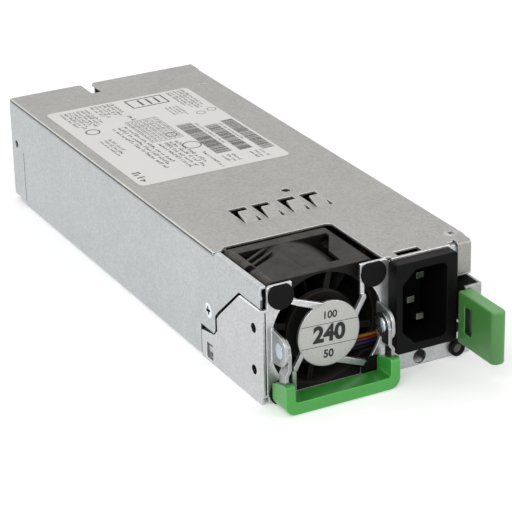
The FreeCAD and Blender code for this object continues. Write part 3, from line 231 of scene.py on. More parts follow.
def sheet_metal(name, colour, rough, spangle, edge=0.28 * MM, bright=1.7, zones=None):
    """Zinc coated sheet: cloudy blotches, faint crystals, fine speckle, painted highlights on the cut edges.

    The zones function gives (mask, factor) pairs: painted shade on cut edges and in recesses, and painted
    highlights.
    """
    f = Finish(name, metallic=0.86, specular=0.5)
    cloud = f.noise(30 * MM, 3, 0.55)
    blotch = f.noise(5.5 * MM, 4, 0.62)
    crystal = f.grey(f.cells(2.4 * MM))
    speck = f.noise(0.9 * MM, 3, 0.75)
    tone = f.mix(f.span(cloud, 0.3, 0.7), shade(colour, 0.95), shade(colour, 1.05))
    tone = f.mix(f.span(blotch, 0.38, 0.64), tone, f.mix(0.6, tone, shade(colour, 1.18)))
    tone = f.mix(f.math("MULTIPLY", crystal, spangle), tone, shade(colour, 1.24))
    tone = f.mix(f.span(speck, 0.40, 0.66, 0.0, 0.50), tone, shade(colour, 0.64))
    scratch = f.span(f.noise(9 * MM, 4, 0.75, (1, 14, 14)), 0.68, 0.72)
    tone = f.mix(f.math("MULTIPLY", scratch, 0.35), tone, shade(colour, 1.3))
    # Painted highlight: the cut edges are brightened by the factor bright; further down they are also made a
    # little smoother.
    edge_light_and_wear = f.edge_mask(edge)
    tone = f.mix(f.math("MULTIPLY", edge_light_and_wear, 0.85), tone, shade(colour, bright))
    # Painted shade and painted highlights from the zones.
    if zones:
        tone = f.toned(tone, zones(f))
    dull = f.span(blotch, 0.3, 0.7, rough - 0.06, rough + 0.07)
    dull = f.math("SUBTRACT", dull, f.math("MULTIPLY", edge_light_and_wear, 0.12))
    relief = f.math("ADD", f.math("MULTIPLY", speck, 0.6), f.math("MULTIPLY", crystal, 0.35))
    return f.set(tone, dull, f.bump(relief, 0.03 * MM, f.soft_edge(edge)))


def tray_zones(f):
    """Painted shade on the cut edges round the bracket's wing."""
    near_wing = f.within((-0.5, 0.3, 1.0), (1.1, 41.1, 35.0))
    return [(f.less(near_wing, f.facing(0, -1)), 0.22)]


def bracket_zones(f):
    """Painted shade on the walls of the wing's two holes and on the tongues that carry the handle, a painted
    highlight on the wing's top edge.
    """
    holes = f.within((-0.5, 3.3, 5.0), (1.1, 7.1, 27.0))
    tongues = f.within((2.5, -9.5, 5.0), (43.0, -0.7, 30.0))
    top_edge = f.within((-0.5, 1.1, 30.9), (1.2, 13.9, 31.8))
    return [(f.less(holes, f.facing(0, -1)), 0.08), (tongues, 0.74), (top_edge, 1.5)]


def cover_zones(f):
    """Painted shade on the cut side along the left wall and on the front tab, painted highlights on the cut
    front and the left rim.
    """
    left_side = f.math("MULTIPLY", f.within((-0.5, 31.5, 38.0), (0.4, 195.5, 38.95)), f.facing(0, -1))
    front = f.math("MULTIPLY", f.within((-1.0, -1.5, 38.0), (65.9, 3.5, 39.2)), f.facing(1, -1))
    tab = f.within((68.0, -1.5, 28.0), (75.0, 0.5, 38.2))
    left_rim = f.within((-0.5, 31.1, 38.95), (0.65, 195.5, 39.2))
    return [(left_side, 0.30), (front, 1.75), (tab, 0.90), (left_rim, 1.5)]


def fan_zones(f):
    """Painted highlights along the rails of the fan's top."""
    left = f.within((3.2, 5.0, 36.0), (6.6, 32.1, 39.0))
    rear = f.within((3.2, 28.3, 36.0), (42.0, 32.1, 39.0))
    return [(left, 1.75), (rear, 1.45)]


def tab_zones(f):
    """Painted shade inside the tab's window."""
    return [(f.within((65.8, -13.75, 12.35), (68.6, -9.65, 21.65)), 0.10)]


def plated(name, colour, rough, edge=0.12 * MM, rim=1.3):
    """Plated or drawn metal of small pieces: fine brushed tone and painted light on the edges, set by rim."""
    f = Finish(name, metallic=0.95, specular=0.5)
    cloud = f.noise(4 * MM, 3, 0.6)
    fine = f.noise(0.22 * MM, 2, 0.6)
    edge_light_and_wear = f.edge_mask(edge)
    tone = f.mix(f.span(cloud, 0.3, 0.7), shade(colour, 0.88), shade(colour, 1.08))
    # Painted light on the edges: a highlight where rim is above 1, shade where it is below 1.
    tone = f.mix(f.math("MULTIPLY", edge_light_and_wear, 0.6), tone, shade(colour, rim))
    dull = f.span(fine, 0.3, 0.7, rough - 0.06, rough + 0.08)
    return f.set(tone, dull, f.bump(fine, 0.012 * MM, f.soft_edge(edge)))


def moulded(name, colour, rough, grain=0.35 * MM, depth=0.02 * MM, edge=0.2 * MM, rub=0.35, specular=0.5,
            coat=0.0, high=1.35, glow=0.0, dust=0.0, top=1.0, zones=None):
    """Moulded plastic: fine sparked grain, slight flow clouds, painted highlights on the edges, dust on what
    faces up.
    """
    f = Finish(name, specular=specular, coat=coat)
    f.shader.inputs["Subsurface Weight"].default_value = glow
    f.shader.inputs["Subsurface Scale"].default_value = 1.2 * MM
    f.shader.inputs["Subsurface Radius"].default_value = (0.5, 1.0, 0.4)
    cloud = f.noise(14 * MM, 3, 0.5)
    fine = f.noise(grain, 3, 0.6)
    pits = f.cells(grain * 1.6, output="Distance")
    edge_light_and_wear = f.edge_mask(edge)
    tone = f.mix(f.span(cloud, 0.3, 0.7), shade(colour, 0.93), shade(colour, 1.07))
    # Painted highlight on the edges, by this share and the factor high.
    tone = f.mix(f.math("MULTIPLY", edge_light_and_wear, rub), tone, shade(colour, high))
    if dust:
        patches = f.span(f.noise(4.5 * MM, 4, 0.65), 0.36, 0.66, 0.35, 1.0)
        settled = f.math("MULTIPLY", f.facing(2, 1), patches)
        tone = f.mix(f.math("MULTIPLY", settled, dust), tone, (0.115, 0.103, 0.090))
    # Painted light on the faces that look up: top below 1 paints shade, above 1 a highlight.
    if top != 1.0:
        tone = f.toned(tone, [(f.facing(2, 1), top)])
    # Painted shade and painted highlights from the zones.
    if zones:
        tone = f.toned(tone, zones(f))
    dull = f.span(fine, 0.3, 0.7, rough - 0.07, rough + 0.07)
    relief = f.math("ADD", fine, f.math("MULTIPLY", pits, 0.5))
    return f.set(tone, dull, f.bump(relief, depth, f.soft_edge(edge)))


def rubber(name, colour):
    """Matte black rubber with a faint chalky bloom."""
    f = Finish(name, specular=0.10)
    bloom = f.noise(2.2 * MM, 4, 0.65)
    fine = f.noise(0.3 * MM, 3, 0.7)
    tone = f.mix(f.span(bloom, 0.45, 0.75, 0.0, 0.5), colour, shade(colour, 2.0))
    return f.set(tone, f.span(bloom, 0.3, 0.7, 0.62, 0.80), f.bump(fine, 0.02 * MM, f.soft_edge(0.25 * MM)))


def paper(name, colour):
    """Coated label stock: fine fibre, a few handling marks."""
    f = Finish(name, specular=0.4)
    fibre = f.noise(0.5 * MM, 4, 0.7, (1, 3, 1))
    cloud = f.noise(18 * MM, 3, 0.5)
    tone = f.mix(f.span(fibre, 0.3, 0.7), shade(colour, 0.965), shade(colour, 1.02))
    tone = f.mix(f.span(cloud, 0.5, 0.75, 0.0, 0.5), tone, shade(colour, 0.95))
    return f.set(tone, f.span(cloud, 0.3, 0.7, 0.42, 0.55), f.bump(fibre, 0.01 * MM, f.soft_edge(0.06 * MM)))


def silver_label(name, colour):
    """Metallised film with a fine sparkle."""
    f = Finish(name, metallic=0.35, specular=0.5)
    sparkle = f.grey(f.cells(0.22 * MM))
    cloud = f.noise(7 * MM, 2, 0.5)
    tone = f.mix(sparkle, shade(colour, 0.86), shade(colour, 1.12))
    tone = f.mix(f.span(cloud, 0.35, 0.7, 0.0, 0.4), tone, shade(colour, 1.06))
    return f.set(tone, f.span(sparkle, 0, 1, 0.36, 0.5), f.bump(sparkle, 0.006 * MM, f.soft_edge(0.06 * MM)))


def circuit(name, colour):
    """Solder mask over copper tracks: lighter tracks, darker gaps and tiny vias."""
    f = Finish(name, specular=0.5, coat=0.25)
    track = f.span(f.noise(5 * MM, 2, 0.4, (3.0, 0.7, 1)), 0.47, 0.53)
    weave = f.noise(0.6 * MM, 2, 0.5)
    via = f.span(f.cells(4.3 * MM, output="Distance"), 0.10, 0.07)
    tone = f.mix(track, shade(colour, 0.7), shade(colour, 1.35))
    tone = f.mix(f.span(weave, 0.35, 0.65, 0.0, 0.25), tone, shade(colour, 0.6))
    tone = f.mix(f.math("MULTIPLY", via, 0.8), tone, (0.30, 0.33, 0.25))
    relief = f.math("ADD", f.math("MULTIPLY", track, 0.6), f.math("MULTIPLY", weave, 0.25))
    return f.set(tone, f.span(weave, 0.3, 0.7, 0.28, 0.4), f.bump(relief, 0.03 * MM, f.soft_edge(0.08 * MM)))


def film(name, colour):
    """Thin clear sheet with slight ripples."""
    f = Finish(name, specular=0.5)
    f.shader.inputs["Transmission Weight"].default_value = 0.35
    ripple = f.noise(9 * MM, 2, 0.4)
    tone = f.mix(f.span(ripple, 0.3, 0.7), shade(colour, 0.92), shade(colour, 1.05))
    return f.set(tone, f.span(ripple, 0.3, 0.7, 0.2, 0.32), f.bump(ripple, 0.15 * MM))


def wound(name, colour, pitch):
    """Enamelled wire or tape laid in close turns."""
    f = Finish(name, specular=0.5, coat=0.3)
    turns = f.node("ShaderNodeTexWave", wave_type="BANDS", bands_direction="Y")
    f.link(f.place, turns.inputs["Vector"])
    turns.inputs["Scale"].default_value = 0.31 / pitch
    turns.inputs["Distortion"].default_value = 0.6
    fac = turns.outputs["Fac"]
    cloud = f.noise(6 * MM, 3, 0.6)
    tone = f.mix(fac, shade(colour, 0.35), shade(colour, 1.15))
    tone = f.mix(f.span(cloud, 0.35, 0.7, 0.0, 0.35), tone, shade(colour, 0.6))
    return f.set(tone, f.span(fac, 0, 1, 0.5, 0.28), f.bump(fac, 0.2 * MM, f.soft_edge(0.2 * MM)))


def ink(name, colour):
    """Printing ink: slightly uneven, dull."""
    f = Finish(name, specular=0.3)
    fine = f.noise(0.3 * MM, 3, 0.6)
    tone = f.mix(f.span(fine, 0.3, 0.7), shade(colour, 0.8), shade(colour, 1.3))
    return f.set(tone, f.span(fine, 0.3, 0.7, 0.45, 0.6), f.bump(fine, 0.004 * MM))


def make_finishes():
    """One finish for each material slot of the record."""
    made = {}

    def add(slot, recipe, *values, **settings):
        made[slot] = recipe(slot, *values, **settings)

    add("galvanised_sheet", sheet_metal, (0.530, 0.552, 0.560), 0.44, 0.32, zones=tray_zones)
    add("cover_sheet", sheet_metal, (0.378, 0.373, 0.355), 0.46, 0.22, 0.42 * MM, 2.2, cover_zones)
    add("bracket_sheet", sheet_metal, (0.575, 0.584, 0.592), 0.34, 0.22, 0.45 * MM, 1.9, bracket_zones)
    add("rivet_steel", plated, (0.52, 0.60, 0.64), 0.20)
    add("screw_steel", plated, (0.86, 0.90, 0.92), 0.24)
    add("black_rubber", rubber, (0.006, 0.006, 0.006))
    # The fan's frame: strong painted highlights on its edges; the dust on its top is real dust.
    add("fan_plastic", moulded, (0.0085, 0.008, 0.0072), 0.50, edge=0.5 * MM, rub=0.75, high=4.0,
        specular=0.14, dust=0.36, zones=fan_zones)
    add("rotor_plastic", moulded, (0.003, 0.003, 0.003), 0.45, specular=0.08)
    add("motor_copper", wound, (0.10, 0.045, 0.02), 0.45 * MM)
    # The handle's tops get painted shade and the tab's tops a painted highlight; both get painted highlights
    # on their edges.
    add("green_handle", moulded, (0.052, 0.370, 0.050), 0.32, edge=0.5 * MM, rub=0.6, high=2.4,
        glow=0.25, coat=0.4, top=0.60)
    add("green_tab", moulded, (0.070, 0.240, 0.055), 0.36, edge=0.5 * MM, rub=0.55, high=2.4,
        glow=0.2, coat=0.25, top=1.35, zones=tab_zones)
    # The inlet: painted highlights on its edges.
    add("black_plastic", moulded, (0.0035, 0.0035, 0.0038), 0.42, edge=0.35 * MM, rub=0.6, high=3.0,
        specular=0.09)
    add("clear_plastic", moulded, (0.06, 0.065, 0.06), 0.12, depth=0.004 * MM)
    # The inlet's pins: dark as painted shade of the inlet's cavity, with painted highlights on their edges.
    add("pin_metal", plated, (0.12, 0.117, 0.11), 0.20, rim=3.0)
    add("label_paper", paper, (0.760, 0.745, 0.725))
    add("grey_label", silver_label, (0.500, 0.500, 0.480))
    add("circuit_board", circuit, (0.010, 0.070, 0.030))
    add("gold_contact", plated, (0.80, 0.55, 0.20), 0.24, 0.03 * MM)
    add("clear_film", film, (0.45, 0.42, 0.32))
    add("ferrite", wound, (0.075, 0.036, 0.018), 0.9 * MM)
    add("winding_tape", wound, (0.26, 0.18, 0.03), 2.2 * MM)
    add("aluminium_plain", plated, (0.30, 0.30, 0.31), 0.36)
    add("capacitor_sleeve", moulded, (0.010, 0.012, 0.020), 0.30, coat=0.2, specular=0.2)
    add("adhesive", moulded, (0.34, 0.33, 0.30), 0.45, grain=1.2 * MM, depth=0.1 * MM)
    add("relay_plastic", moulded, (0.012, 0.030, 0.085), 0.34)
    add("film_box", moulded, (0.20, 0.14, 0.02), 0.36)
    add("copper_bar", plated, (0.30, 0.15, 0.08), 0.30)
    # The yellow, red and blue wires are darkened below their own colour as painted shade, where they run in
    # shade behind the fan.
    add("wire_yellow", moulded, (0.300, 0.112, 0.009), 0.34, grain=0.2 * MM)
    add("wire_red", moulded, (0.120, 0.0084, 0.006), 0.34, grain=0.2 * MM)
    add("wire_blue", moulded, (0.006, 0.0096, 0.060), 0.34, grain=0.2 * MM)
    add("wire_black", moulded, (0.008, 0.008, 0.008), 0.36, grain=0.2 * MM, specular=0.2)
    add("wire_brown", moulded, (0.09, 0.03, 0.012), 0.36, grain=0.2 * MM)
    add("wire_earth", moulded, (0.13, 0.23, 0.02), 0.36, grain=0.2 * MM)
    return made


# ================================================================ mesh helpers
def mesh_piece(name, bm, material, body, smooth_angle=None):
    """A finished bmesh as a piece that rides on a body."""
    mesh = bpy.data.meshes.new(name)
    bmesh.ops.recalc_face_normals(bm, faces=bm.faces)
    bm.to_mesh(mesh)
    bm.free()
    mesh.materials.append(material)
    piece = bpy.data.objects.new(name, mesh)
    bpy.context.scene.collection.objects.link(piece)
    if smooth_angle is not None:
        smooth(piece, smooth_angle)
    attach(piece, body)
    return piece


def smooth(piece, angle):
    """Smooth faces, with edges sharper than angle kept sharp."""
    mesh = piece.data
    mesh.polygons.foreach_set("use_smooth", [True] * len(mesh.polygons))
    mesh.set_sharp_from_angle(angle=math.radians(angle))


def add_block(bm, low, high, place=None):
    """A closed block between two corners, moved by place."""
    xs, ys, zs = zip(low, high)
    corners = [Vector((x, y, z)) for x in xs for y in ys for z in zs]
    verts = [bm.verts.new(place @ c if place else c) for c in corners]
    for quad in ((0, 1, 3, 2), (4, 6, 7, 5), (0, 4, 5, 1), (2, 3, 7, 6), (0, 2, 6, 4), (1, 5, 7, 3)):
        bm.faces.new([verts[i] for i in quad])


def add_turned(bm, profile, place):
    """A closed turned form: profile is (radius, height) from axis to axis along local Z."""
    steps = 48
    turns = [2 * math.pi * k / steps for k in range(steps)]
    rings = []
    for r, h in profile:
        if r == 0:
            rings.append([bm.verts.new(place @ Vector((0, 0, h)))])
        else:
            rings.append([bm.verts.new(place @ Vector((r * math.cos(t), r * math.sin(t), h))) for t in turns])
    for a, b in zip(rings, rings[1:]):
        for k in range(steps):
            n = (k + 1) % steps
            loop = [a[k % len(a)], a[n % len(a)], b[n % len(b)], b[k % len(b)]]
            loop = [v for i, v in enumerate(loop) if v not in loop[:i]]
            if len(loop) > 2:
                bm.faces.new(loop)


def aimed(direction, at):
    """A placing whose local Z points along direction, at a point."""
    turn = Vector(direction).to_track_quat("Z", "Y").to_matrix().to_4x4()
    return Matrix.Translation(at) @ turn


# ================================================================ print on the labels
def add_words(bm, rng, x, y_from, y_to, z, height, heavy=False):
    """One greeked line of small upright strokes in word-like groups, running along Y."""
    stroke = height * (0.27 if heavy else 0.17)
    foot = x - height / 2
    y = y_from
    while y > y_to:
        for _ in range(rng.randint(2, 7)):
            tall = height * rng.choice((0.62, 0.62, 0.7, 1.0))
            add_block(bm, (foot, y - stroke, z), (foot + tall, y, z + INK_T))
            if rng.random() < 0.6:
                level = foot + tall * rng.choice((0.0, 0.45, 0.8))
                add_block(bm, (level, y - 2.4 * stroke, z), (level + stroke * 0.8, y - stroke, z + INK_T))
            y -= stroke * rng.choice((2.6, 3.0, 3.4))
            if y < y_to:
                break
        y -= height * 0.55


def add_bars(bm, rng, x0, x1, y_from, y_to, z):
    """A field of plain bars across X, of uneven widths."""
    y = y_from
    while y > y_to:
        width = rng.choice((0.18, 0.18, 0.36, 0.54)) * MM
        add_block(bm, (x0, y - width, z), (x1, y, z + INK_T))
        y -= width + rng.choice((0.2, 0.2, 0.4)) * MM


def add_ring(bm, x, y, z, radius, line):
    """A plain flat ring."""
    steps = 40
    turns = [2 * math.pi * k / steps for k in range(steps)]
    loops = []
    for r, h in ((radius, 0.0), (radius, INK_T), (radius - line, INK_T), (radius - line, 0.0)):
        loops.append([bm.verts.new((x + r * math.cos(t), y + r * math.sin(t), z + h)) for t in turns])
    for a, b in zip(loops, loops[1:] + loops[:1]):
        for k in range(steps):
            n = (k + 1) % steps
            bm.faces.new((a[k], a[n], b[n], b[k]))


def add_frame(bm, x0, x1, y0, y1, z, line):
    """Four thin rules round a field."""
    for low, high in (((x0, y0), (x1, y0 + line)), ((x0, y1 - line), (x1, y1)),
                      ((x0, y0 + line), (x0 + line, y1 - line)), ((x1 - line, y0 + line), (x1, y1 - line))):
        add_block(bm, (*low, z), (*high, z + INK_T))


class LabelFace:
    """The rating label's top. Places on it are shares u across, from the left, and v from the rear."""

    def __init__(self):
        self.low, self.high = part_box("rating_label")
        self.width = self.high.x - self.low.x
        self.length = self.high.y - self.low.y
        self.z = self.high.z + 0.005 * MM

    def at(self, u, v):
        return self.low.x + u * self.width, self.high.y - v * self.length

    def field(self, u0, u1, v0, v1):
        """x0, x1, y0, y1 of a field between two shares across and two along."""
        x0, y1 = self.at(u0, v0)
        x1, y0 = self.at(u1, v1)
        return x0, x1, y0, y1


TEXT_FIELDS = (
    # u from, u to, v from, v to, line pitch in mm, letter height in mm, heavy
    (0.07, 0.27, 0.04, 0.27, 1.60, 1.20, True),
    (0.29, 0.48, 0.02, 0.20, 1.60, 1.20, True),
    (0.09, 0.21, 0.44, 0.64, 1.70, 1.20, True),
    (0.245, 0.365, 0.33, 0.97, 2.20, 1.50, True),
    (0.38, 0.55, 0.60, 0.97, 2.10, 1.50, True),
    (0.55, 0.61, 0.78, 0.97, 2.10, 1.40, True),
    (0.03, 0.12, 0.85, 0.97, 3.40, 2.80, True),
    (0.43, 0.48, 0.21, 0.26, 2.00, 1.80, True),
    (0.83, 0.975, 0.02, 0.28, 1.50, 1.15, True),
    (0.70, 0.80, 0.20, 0.33, 1.40, 0.85, False),
    (0.62, 0.75, 0.865, 0.96, 1.90, 1.20, True),
    (0.80, 0.91, 0.88, 0.96, 1.90, 1.20, True),
    (0.735, 0.765, 0.45, 0.80, 1.60, 0.95, False),
    (0.865, 0.893, 0.50, 0.82, 1.60, 0.95, False),
)
RINGS = (
    # u, v, radius in mm, line in mm
    (0.130, 0.315, 2.7, 0.50),
    (0.868, 0.337, 1.7, 0.25),
    (0.955, 0.320, 1.7, 0.25),
    (0.530, 0.520, 2.1, 0.28),
    (0.560, 0.680, 3.4, 0.42),
)
BADGE = (0.53, 0.79, 0.025, 0.135)      # u from, u to, v from, v to of the frame with three strokes
TABLE = (0.37, 0.585, 0.28, 0.57)
BAR_FIELDS = ((0.622, 0.725, 0.43, 0.83), (0.772, 0.858, 0.50, 0.84), (0.900, 0.982, 0.48, 0.88))


def print_marks(bm, face):
    """Rings and the framed badge of three strokes."""
    for u, v, radius, line in RINGS:
        add_ring(bm, *face.at(u, v), face.z, radius * MM, line * MM)
    x0, x1, y0, y1 = face.field(*BADGE)
    inset = 1.5 * MM
    add_frame(bm, x0, x1, y0, y1, face.z, 0.55 * MM)
    for share in (0.30, 0.52, 0.74):
        x = x0 + (x1 - x0) * share
        add_block(bm, (x, y0 + inset, face.z), (x + 0.8 * MM, y1 - inset, face.z + INK_T))


def print_text(bm, rng, face):
    """Fields of greeked lines, each line of its own length."""
    for u0, u1, v0, v1, pitch, height, heavy in TEXT_FIELDS:
        rows = max(1, int((u1 - u0) * face.width / (pitch * MM)))
        x, y_from = face.at(u0, v0)
        for row in range(rows):
            y_to = face.at(u0, v1)[1] + rng.uniform(0.0, 0.3) * (v1 - v0) * face.length
            add_words(bm, rng, x + (row + 0.5) * pitch * MM, y_from, y_to, face.z, height * MM, heavy)


def print_bars(bm, rng, face):
    """Three fields of plain bars."""
    for place in BAR_FIELDS:
        x0, x1, y0, y1 = face.field(*place)
        add_bars(bm, rng, x0, x1, y1, y0, face.z)


def print_table(bm, rng, face):
    """A ruled table with one greeked line in each row."""
    x0, x1, y0, y1 = face.field(*TABLE)
    z = face.z
    columns = 4
    rows = 7
    add_frame(bm, x0, x1, y0, y1, z, 0.16 * MM)
    for k in range(1, columns):
        y = y0 + (y1 - y0) * k / columns
        add_block(bm, (x0, y, z), (x1, y + 0.12 * MM, z + INK_T))
    for k in range(rows):
        x = x0 + (x1 - x0) * (k + 0.5) / rows
        add_words(bm, rng, x, y1 - 0.8 * MM, y0 + 1.0 * MM, z, 0.85 * MM)
        if k:
            line_x = x0 + (x1 - x0) * k / rows
            add_block(bm, (line_x, y0, z), (line_x + 0.1 * MM, y1, z + INK_T))


def make_label_print(material):
    """Plain lines, rules and bars in the places where such a label carries its print."""
    rng = random.Random(5)
    face = LabelFace()
    bm = bmesh.new()
    print_marks(bm, face)
    print_text(bm, rng, face)
    print_bars(bm, rng, face)
    print_table(bm, rng, face)
    mesh_piece("label_print", bm, material, "base")


def digits(name, text, size, bold, place, material):
    """Plain figures as thin closed ink, centred on a placing."""
    curve = bpy.data.curves.new(name, "FONT")
    curve.body = text
    curve.size = size
    curve.align_x = "CENTER"
    curve.align_y = "CENTER"
    curve.offset = bold
    curve.extrude = 0.008 * MM
    curve.resolution_u = 4
    holder = bpy.data.objects.new(name, curve)
    bpy.context.scene.collection.objects.link(holder)
    bpy.context.view_layer.update()
    mesh = bpy.data.meshes.new_from_object(holder.evaluated_get(bpy.context.evaluated_depsgraph_get()))
    bpy.data.objects.remove(holder)
    mesh.transform(place)
    mesh.name = name
    mesh.materials.clear()
    mesh.materials.append(material)
    piece = bpy.data.objects.new(name, mesh)
    bpy.context.scene.collection.objects.link(piece)
    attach(piece, "base")


def make_hub_print(material):
    """Two rules and plain figures on the fan's round label."""
    low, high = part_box("hub_label")
    centre = (low + high) / 2
    radius = (high.x - low.x) / 2
    tilt = Matrix.Rotation(math.radians(2.5), 4, "Y")
    upright = Matrix.Rotation(math.radians(90), 4, "X")
    face = Matrix.Translation((centre.x, low.y - 0.012 * MM, centre.z)) @ tilt @ upright
    rule_w = 0.18 * MM
    rule_t = 0.012 * MM
    bm = bmesh.new()
    for share in (0.34, -0.36):
        half = radius * math.sqrt(1 - share * share) * 0.99
        level = share * radius
        add_block(bm, (-half, level - rule_w / 2, -rule_t / 2), (half, level + rule_w / 2, rule_t / 2), face)
    mesh_piece("hub_print_rules", bm, material, "base")
    upper = face @ Matrix.Translation((0, 0.60 * radius, 0))
    lower = face @ Matrix.Translation((0, -0.64 * radius, 0))
    digits("hub_print_main", "240", 7.4 * MM, 0.32 * MM, face, material)
    digits("hub_print_upper", "100", 3.4 * MM, 0.09 * MM, upper, material)
    digits("hub_print_lower", "50", 3.6 * MM, 0.12 * MM, lower, material)


# ================================================================ fasteners
def cross_recess(place, radius, depth):
    """A tapered cross that is cut out of a screw head."""
    bm = bmesh.new()
    arm = radius * 0.30
    for turn in (0.0, math.pi / 2):
        spin = Matrix.Rotation(turn, 4, "Z")
        upper, lower = [
            [bm.verts.new(place @ spin @ Vector((x * half_l, y * half_w, z)))
             for x, y in ((-1, -1), (1, -1), (1, 1), (-1, 1))]
            for half_l, half_w, z in ((radius, arm, 0.1 * MM), (radius * 0.35, arm * 0.6, -depth))
        ]
        bm.faces.new(upper)
        bm.faces.new(lower[::-1])
        for k in range(4):
            n = (k + 1) % 4
            bm.faces.new([upper[k], lower[k], lower[n], upper[n]])
    bmesh.ops.recalc_face_normals(bm, faces=bm.faces)
    return bm


def cut_away(piece, cutter_bm):
    """Cuts the closed form out of the piece and keeps the result as its mesh."""
    mesh = bpy.data.meshes.new("cutter")
    cutter_bm.to_mesh(mesh)
    cutter_bm.free()
    cutter = bpy.data.objects.new("cutter", mesh)
    bpy.context.scene.collection.objects.link(cutter)
    modifier = piece.modifiers.new("cut", "BOOLEAN")
    modifier.operation = "DIFFERENCE"
    modifier.solver = "EXACT"
    modifier.use_self = True
    modifier.object = cutter
    bpy.context.view_layer.update()
    done = bpy.data.meshes.new_from_object(piece.evaluated_get(bpy.context.evaluated_depsgraph_get()))
    done.name = piece.name
    piece.modifiers.clear()
    piece.data = done
    bpy.data.objects.remove(cutter)


def loose_parts(node):
    """Box of each separate solid of a CAD node, as (low, high)."""
    mesh = NODES[node].data
    bm = bmesh.new()
    bm.from_mesh(mesh)
    bmesh.ops.remove_doubles(bm, verts=bm.verts, dist=1e-6)
    left = set(bm.verts)
    boxes = []
    while left:
        todo = [left.pop()]
        seen = [todo[0].co.copy()]
        while todo:
            vert = todo.pop()
            for edge in vert.link_edges:
                other = edge.other_vert(vert)
                if other in left:
                    left.remove(other)
                    todo.append(other)
                    seen.append(other.co.copy())
        low = Vector(min(c[i] for c in seen) for i in range(3))
        high = Vector(max(c[i] for c in seen) for i in range(3))
        boxes.append((low, high))
    bm.free()
    return sorted(boxes, key=lambda b: tuple(b[0]))


def screw_profile(head_r, shank_r, head_h, length):
    """Countersunk screw from its face, at height 0, down to its point."""
    return [(0, 0), (head_r - 0.12 * MM, 0), (head_r, -0.08 * MM), (shank_r, -head_h),
            (shank_r, -length + 0.5 * MM), (shank_r * 0.6, -length), (0, -length)]


def paint_recess_shade(piece, place, radius, shadow):
    """Gives the faces that lie down inside a head's recess the dull, dark finish that paints the shade in the
    recess.
    """
    piece.data.materials.append(shadow)
    index = len(piece.data.materials) - 1
    inverse = place.inverted()
    for face in piece.data.polygons:
        at = inverse @ face.center
        if at.z < -0.02 * MM and math.hypot(at.x, at.y) < radius and at.z > -0.9 * MM:
            face.material_index = index


def make_case_screws(materials, shadows):
    """Two countersunk screws with a real cross recess."""
    screws = (
        # name, where the head looks, turn of the cross in degrees, its radius as a share of the head's
        ("case_screw_side", (-1, 0, 0), 12, 0.60),
        ("case_screw_top", (0, 0, 1), 42, 0.45),
    )
    sunk = 0.02 * MM
    parts = loose_parts("case_screws")
    for (name, outward, turn, reach), (low, high), material, shadow in zip(screws, parts, materials, shadows):
        centre = (low + high) / 2
        if outward[0]:
            at = Vector((low.x + sunk, centre.y, centre.z))
            length = high.x - low.x
            head_r = (high.z - low.z) / 2
        else:
            at = Vector((centre.x, centre.y, high.z - sunk))
            length = high.z - low.z
            head_r = (high.x - low.x) / 2
        place = aimed(outward, at)
        bm = bmesh.new()
        add_turned(bm, screw_profile(head_r, 0.6 * head_r, 0.85 * MM, length), place)
        piece = mesh_piece(name, bm, material, "base")
        turned = place @ Matrix.Rotation(math.radians(turn), 4, "Z")
        cut_away(piece, cross_recess(turned, reach * head_r, 0.8 * MM))
        paint_recess_shade(piece, place, 0.62 * head_r, shadow)
        smooth(piece, 35)
    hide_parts("case_screws")


def rivet_profile(head_r, length):
    """Shouldered rivet from the top of its dome, at height 0, down to its flat closing head."""
    shank_r = head_r * 0.57
    dome = [(head_r * share, -fall * MM)
            for share, fall in ((0.30, 0.03), (0.55, 0.12), (0.76, 0.29), (0.92, 0.52), (1.0, 0.76))]
    closing = [(head_r * share, -length + rise * MM)
               for share, rise in ((0.93, 0.78), (0.84, 0.35), (0.6, 0.08))]
    return [(0, 0), *dome, (shank_r, -0.80 * MM), (shank_r, -length + 0.80 * MM), *closing, (0, -length)]


def make_pivot_rivets(material):
    """The two rivets that the handle swings on, with domed heads."""
    for k, (low, high) in enumerate(loose_parts("handle_rivets")):
        centre = (low + high) / 2
        outward = (-1, 0, 0) if k == 0 else (1, 0, 0)
        at = Vector((low.x if k == 0 else high.x, centre.y, centre.z))
        bm = bmesh.new()
        add_turned(bm, rivet_profile((high.z - low.z) / 2, high.x - low.x), aimed(outward, at))
        mesh_piece(("pivot_rivet_left", "pivot_rivet_right")[k], bm, material, "base", 50)
    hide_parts("handle_rivets")


# ================================================================ dressing the CAD nodes
def dress(finishes):
    """Gives each node the finish of its slot, and two nodes one of their own."""
    own = {
        # The bail: painted highlights on its edges.
        "handle_bail": plated("bail_steel", (0.33, 0.34, 0.34), 0.15, 0.3 * MM, rim=2.7),
        # The leaf: a darker copy of the zinc sheet, as painted shade.
        "latch_leaf": sheet_metal("leaf_steel_painted_shade", (0.36, 0.365, 0.345), 0.32, 0.10),
    }
    for node, piece in NODES.items():
        for slot in piece.material_slots:
            slot.material = own.get(node) or finishes[SLOT_OF[node]]


# ================================================================ stage
def make_world():
    """White to the camera, in reflections and through clear parts; less strong as light."""
    world = bpy.data.worlds.new("studio")
    bpy.context.scene.world = world
    world.use_nodes = True
    w = Nodes(world.node_tree)
    background = w.tree.nodes["Background"].inputs
    rays = w.node("ShaderNodeLightPath").outputs
    seen = w.math("MAXIMUM", rays["Is Camera Ray"], rays["Is Transmission Ray"])
    seen = w.math("MAXIMUM", seen, rays["Is Glossy Ray"])
    w.link(w.span(seen, 0.0, 1.0, WORLD_LIGHT, 1.0), background["Strength"])
    background["Color"].default_value = (1, 1, 1, 1)


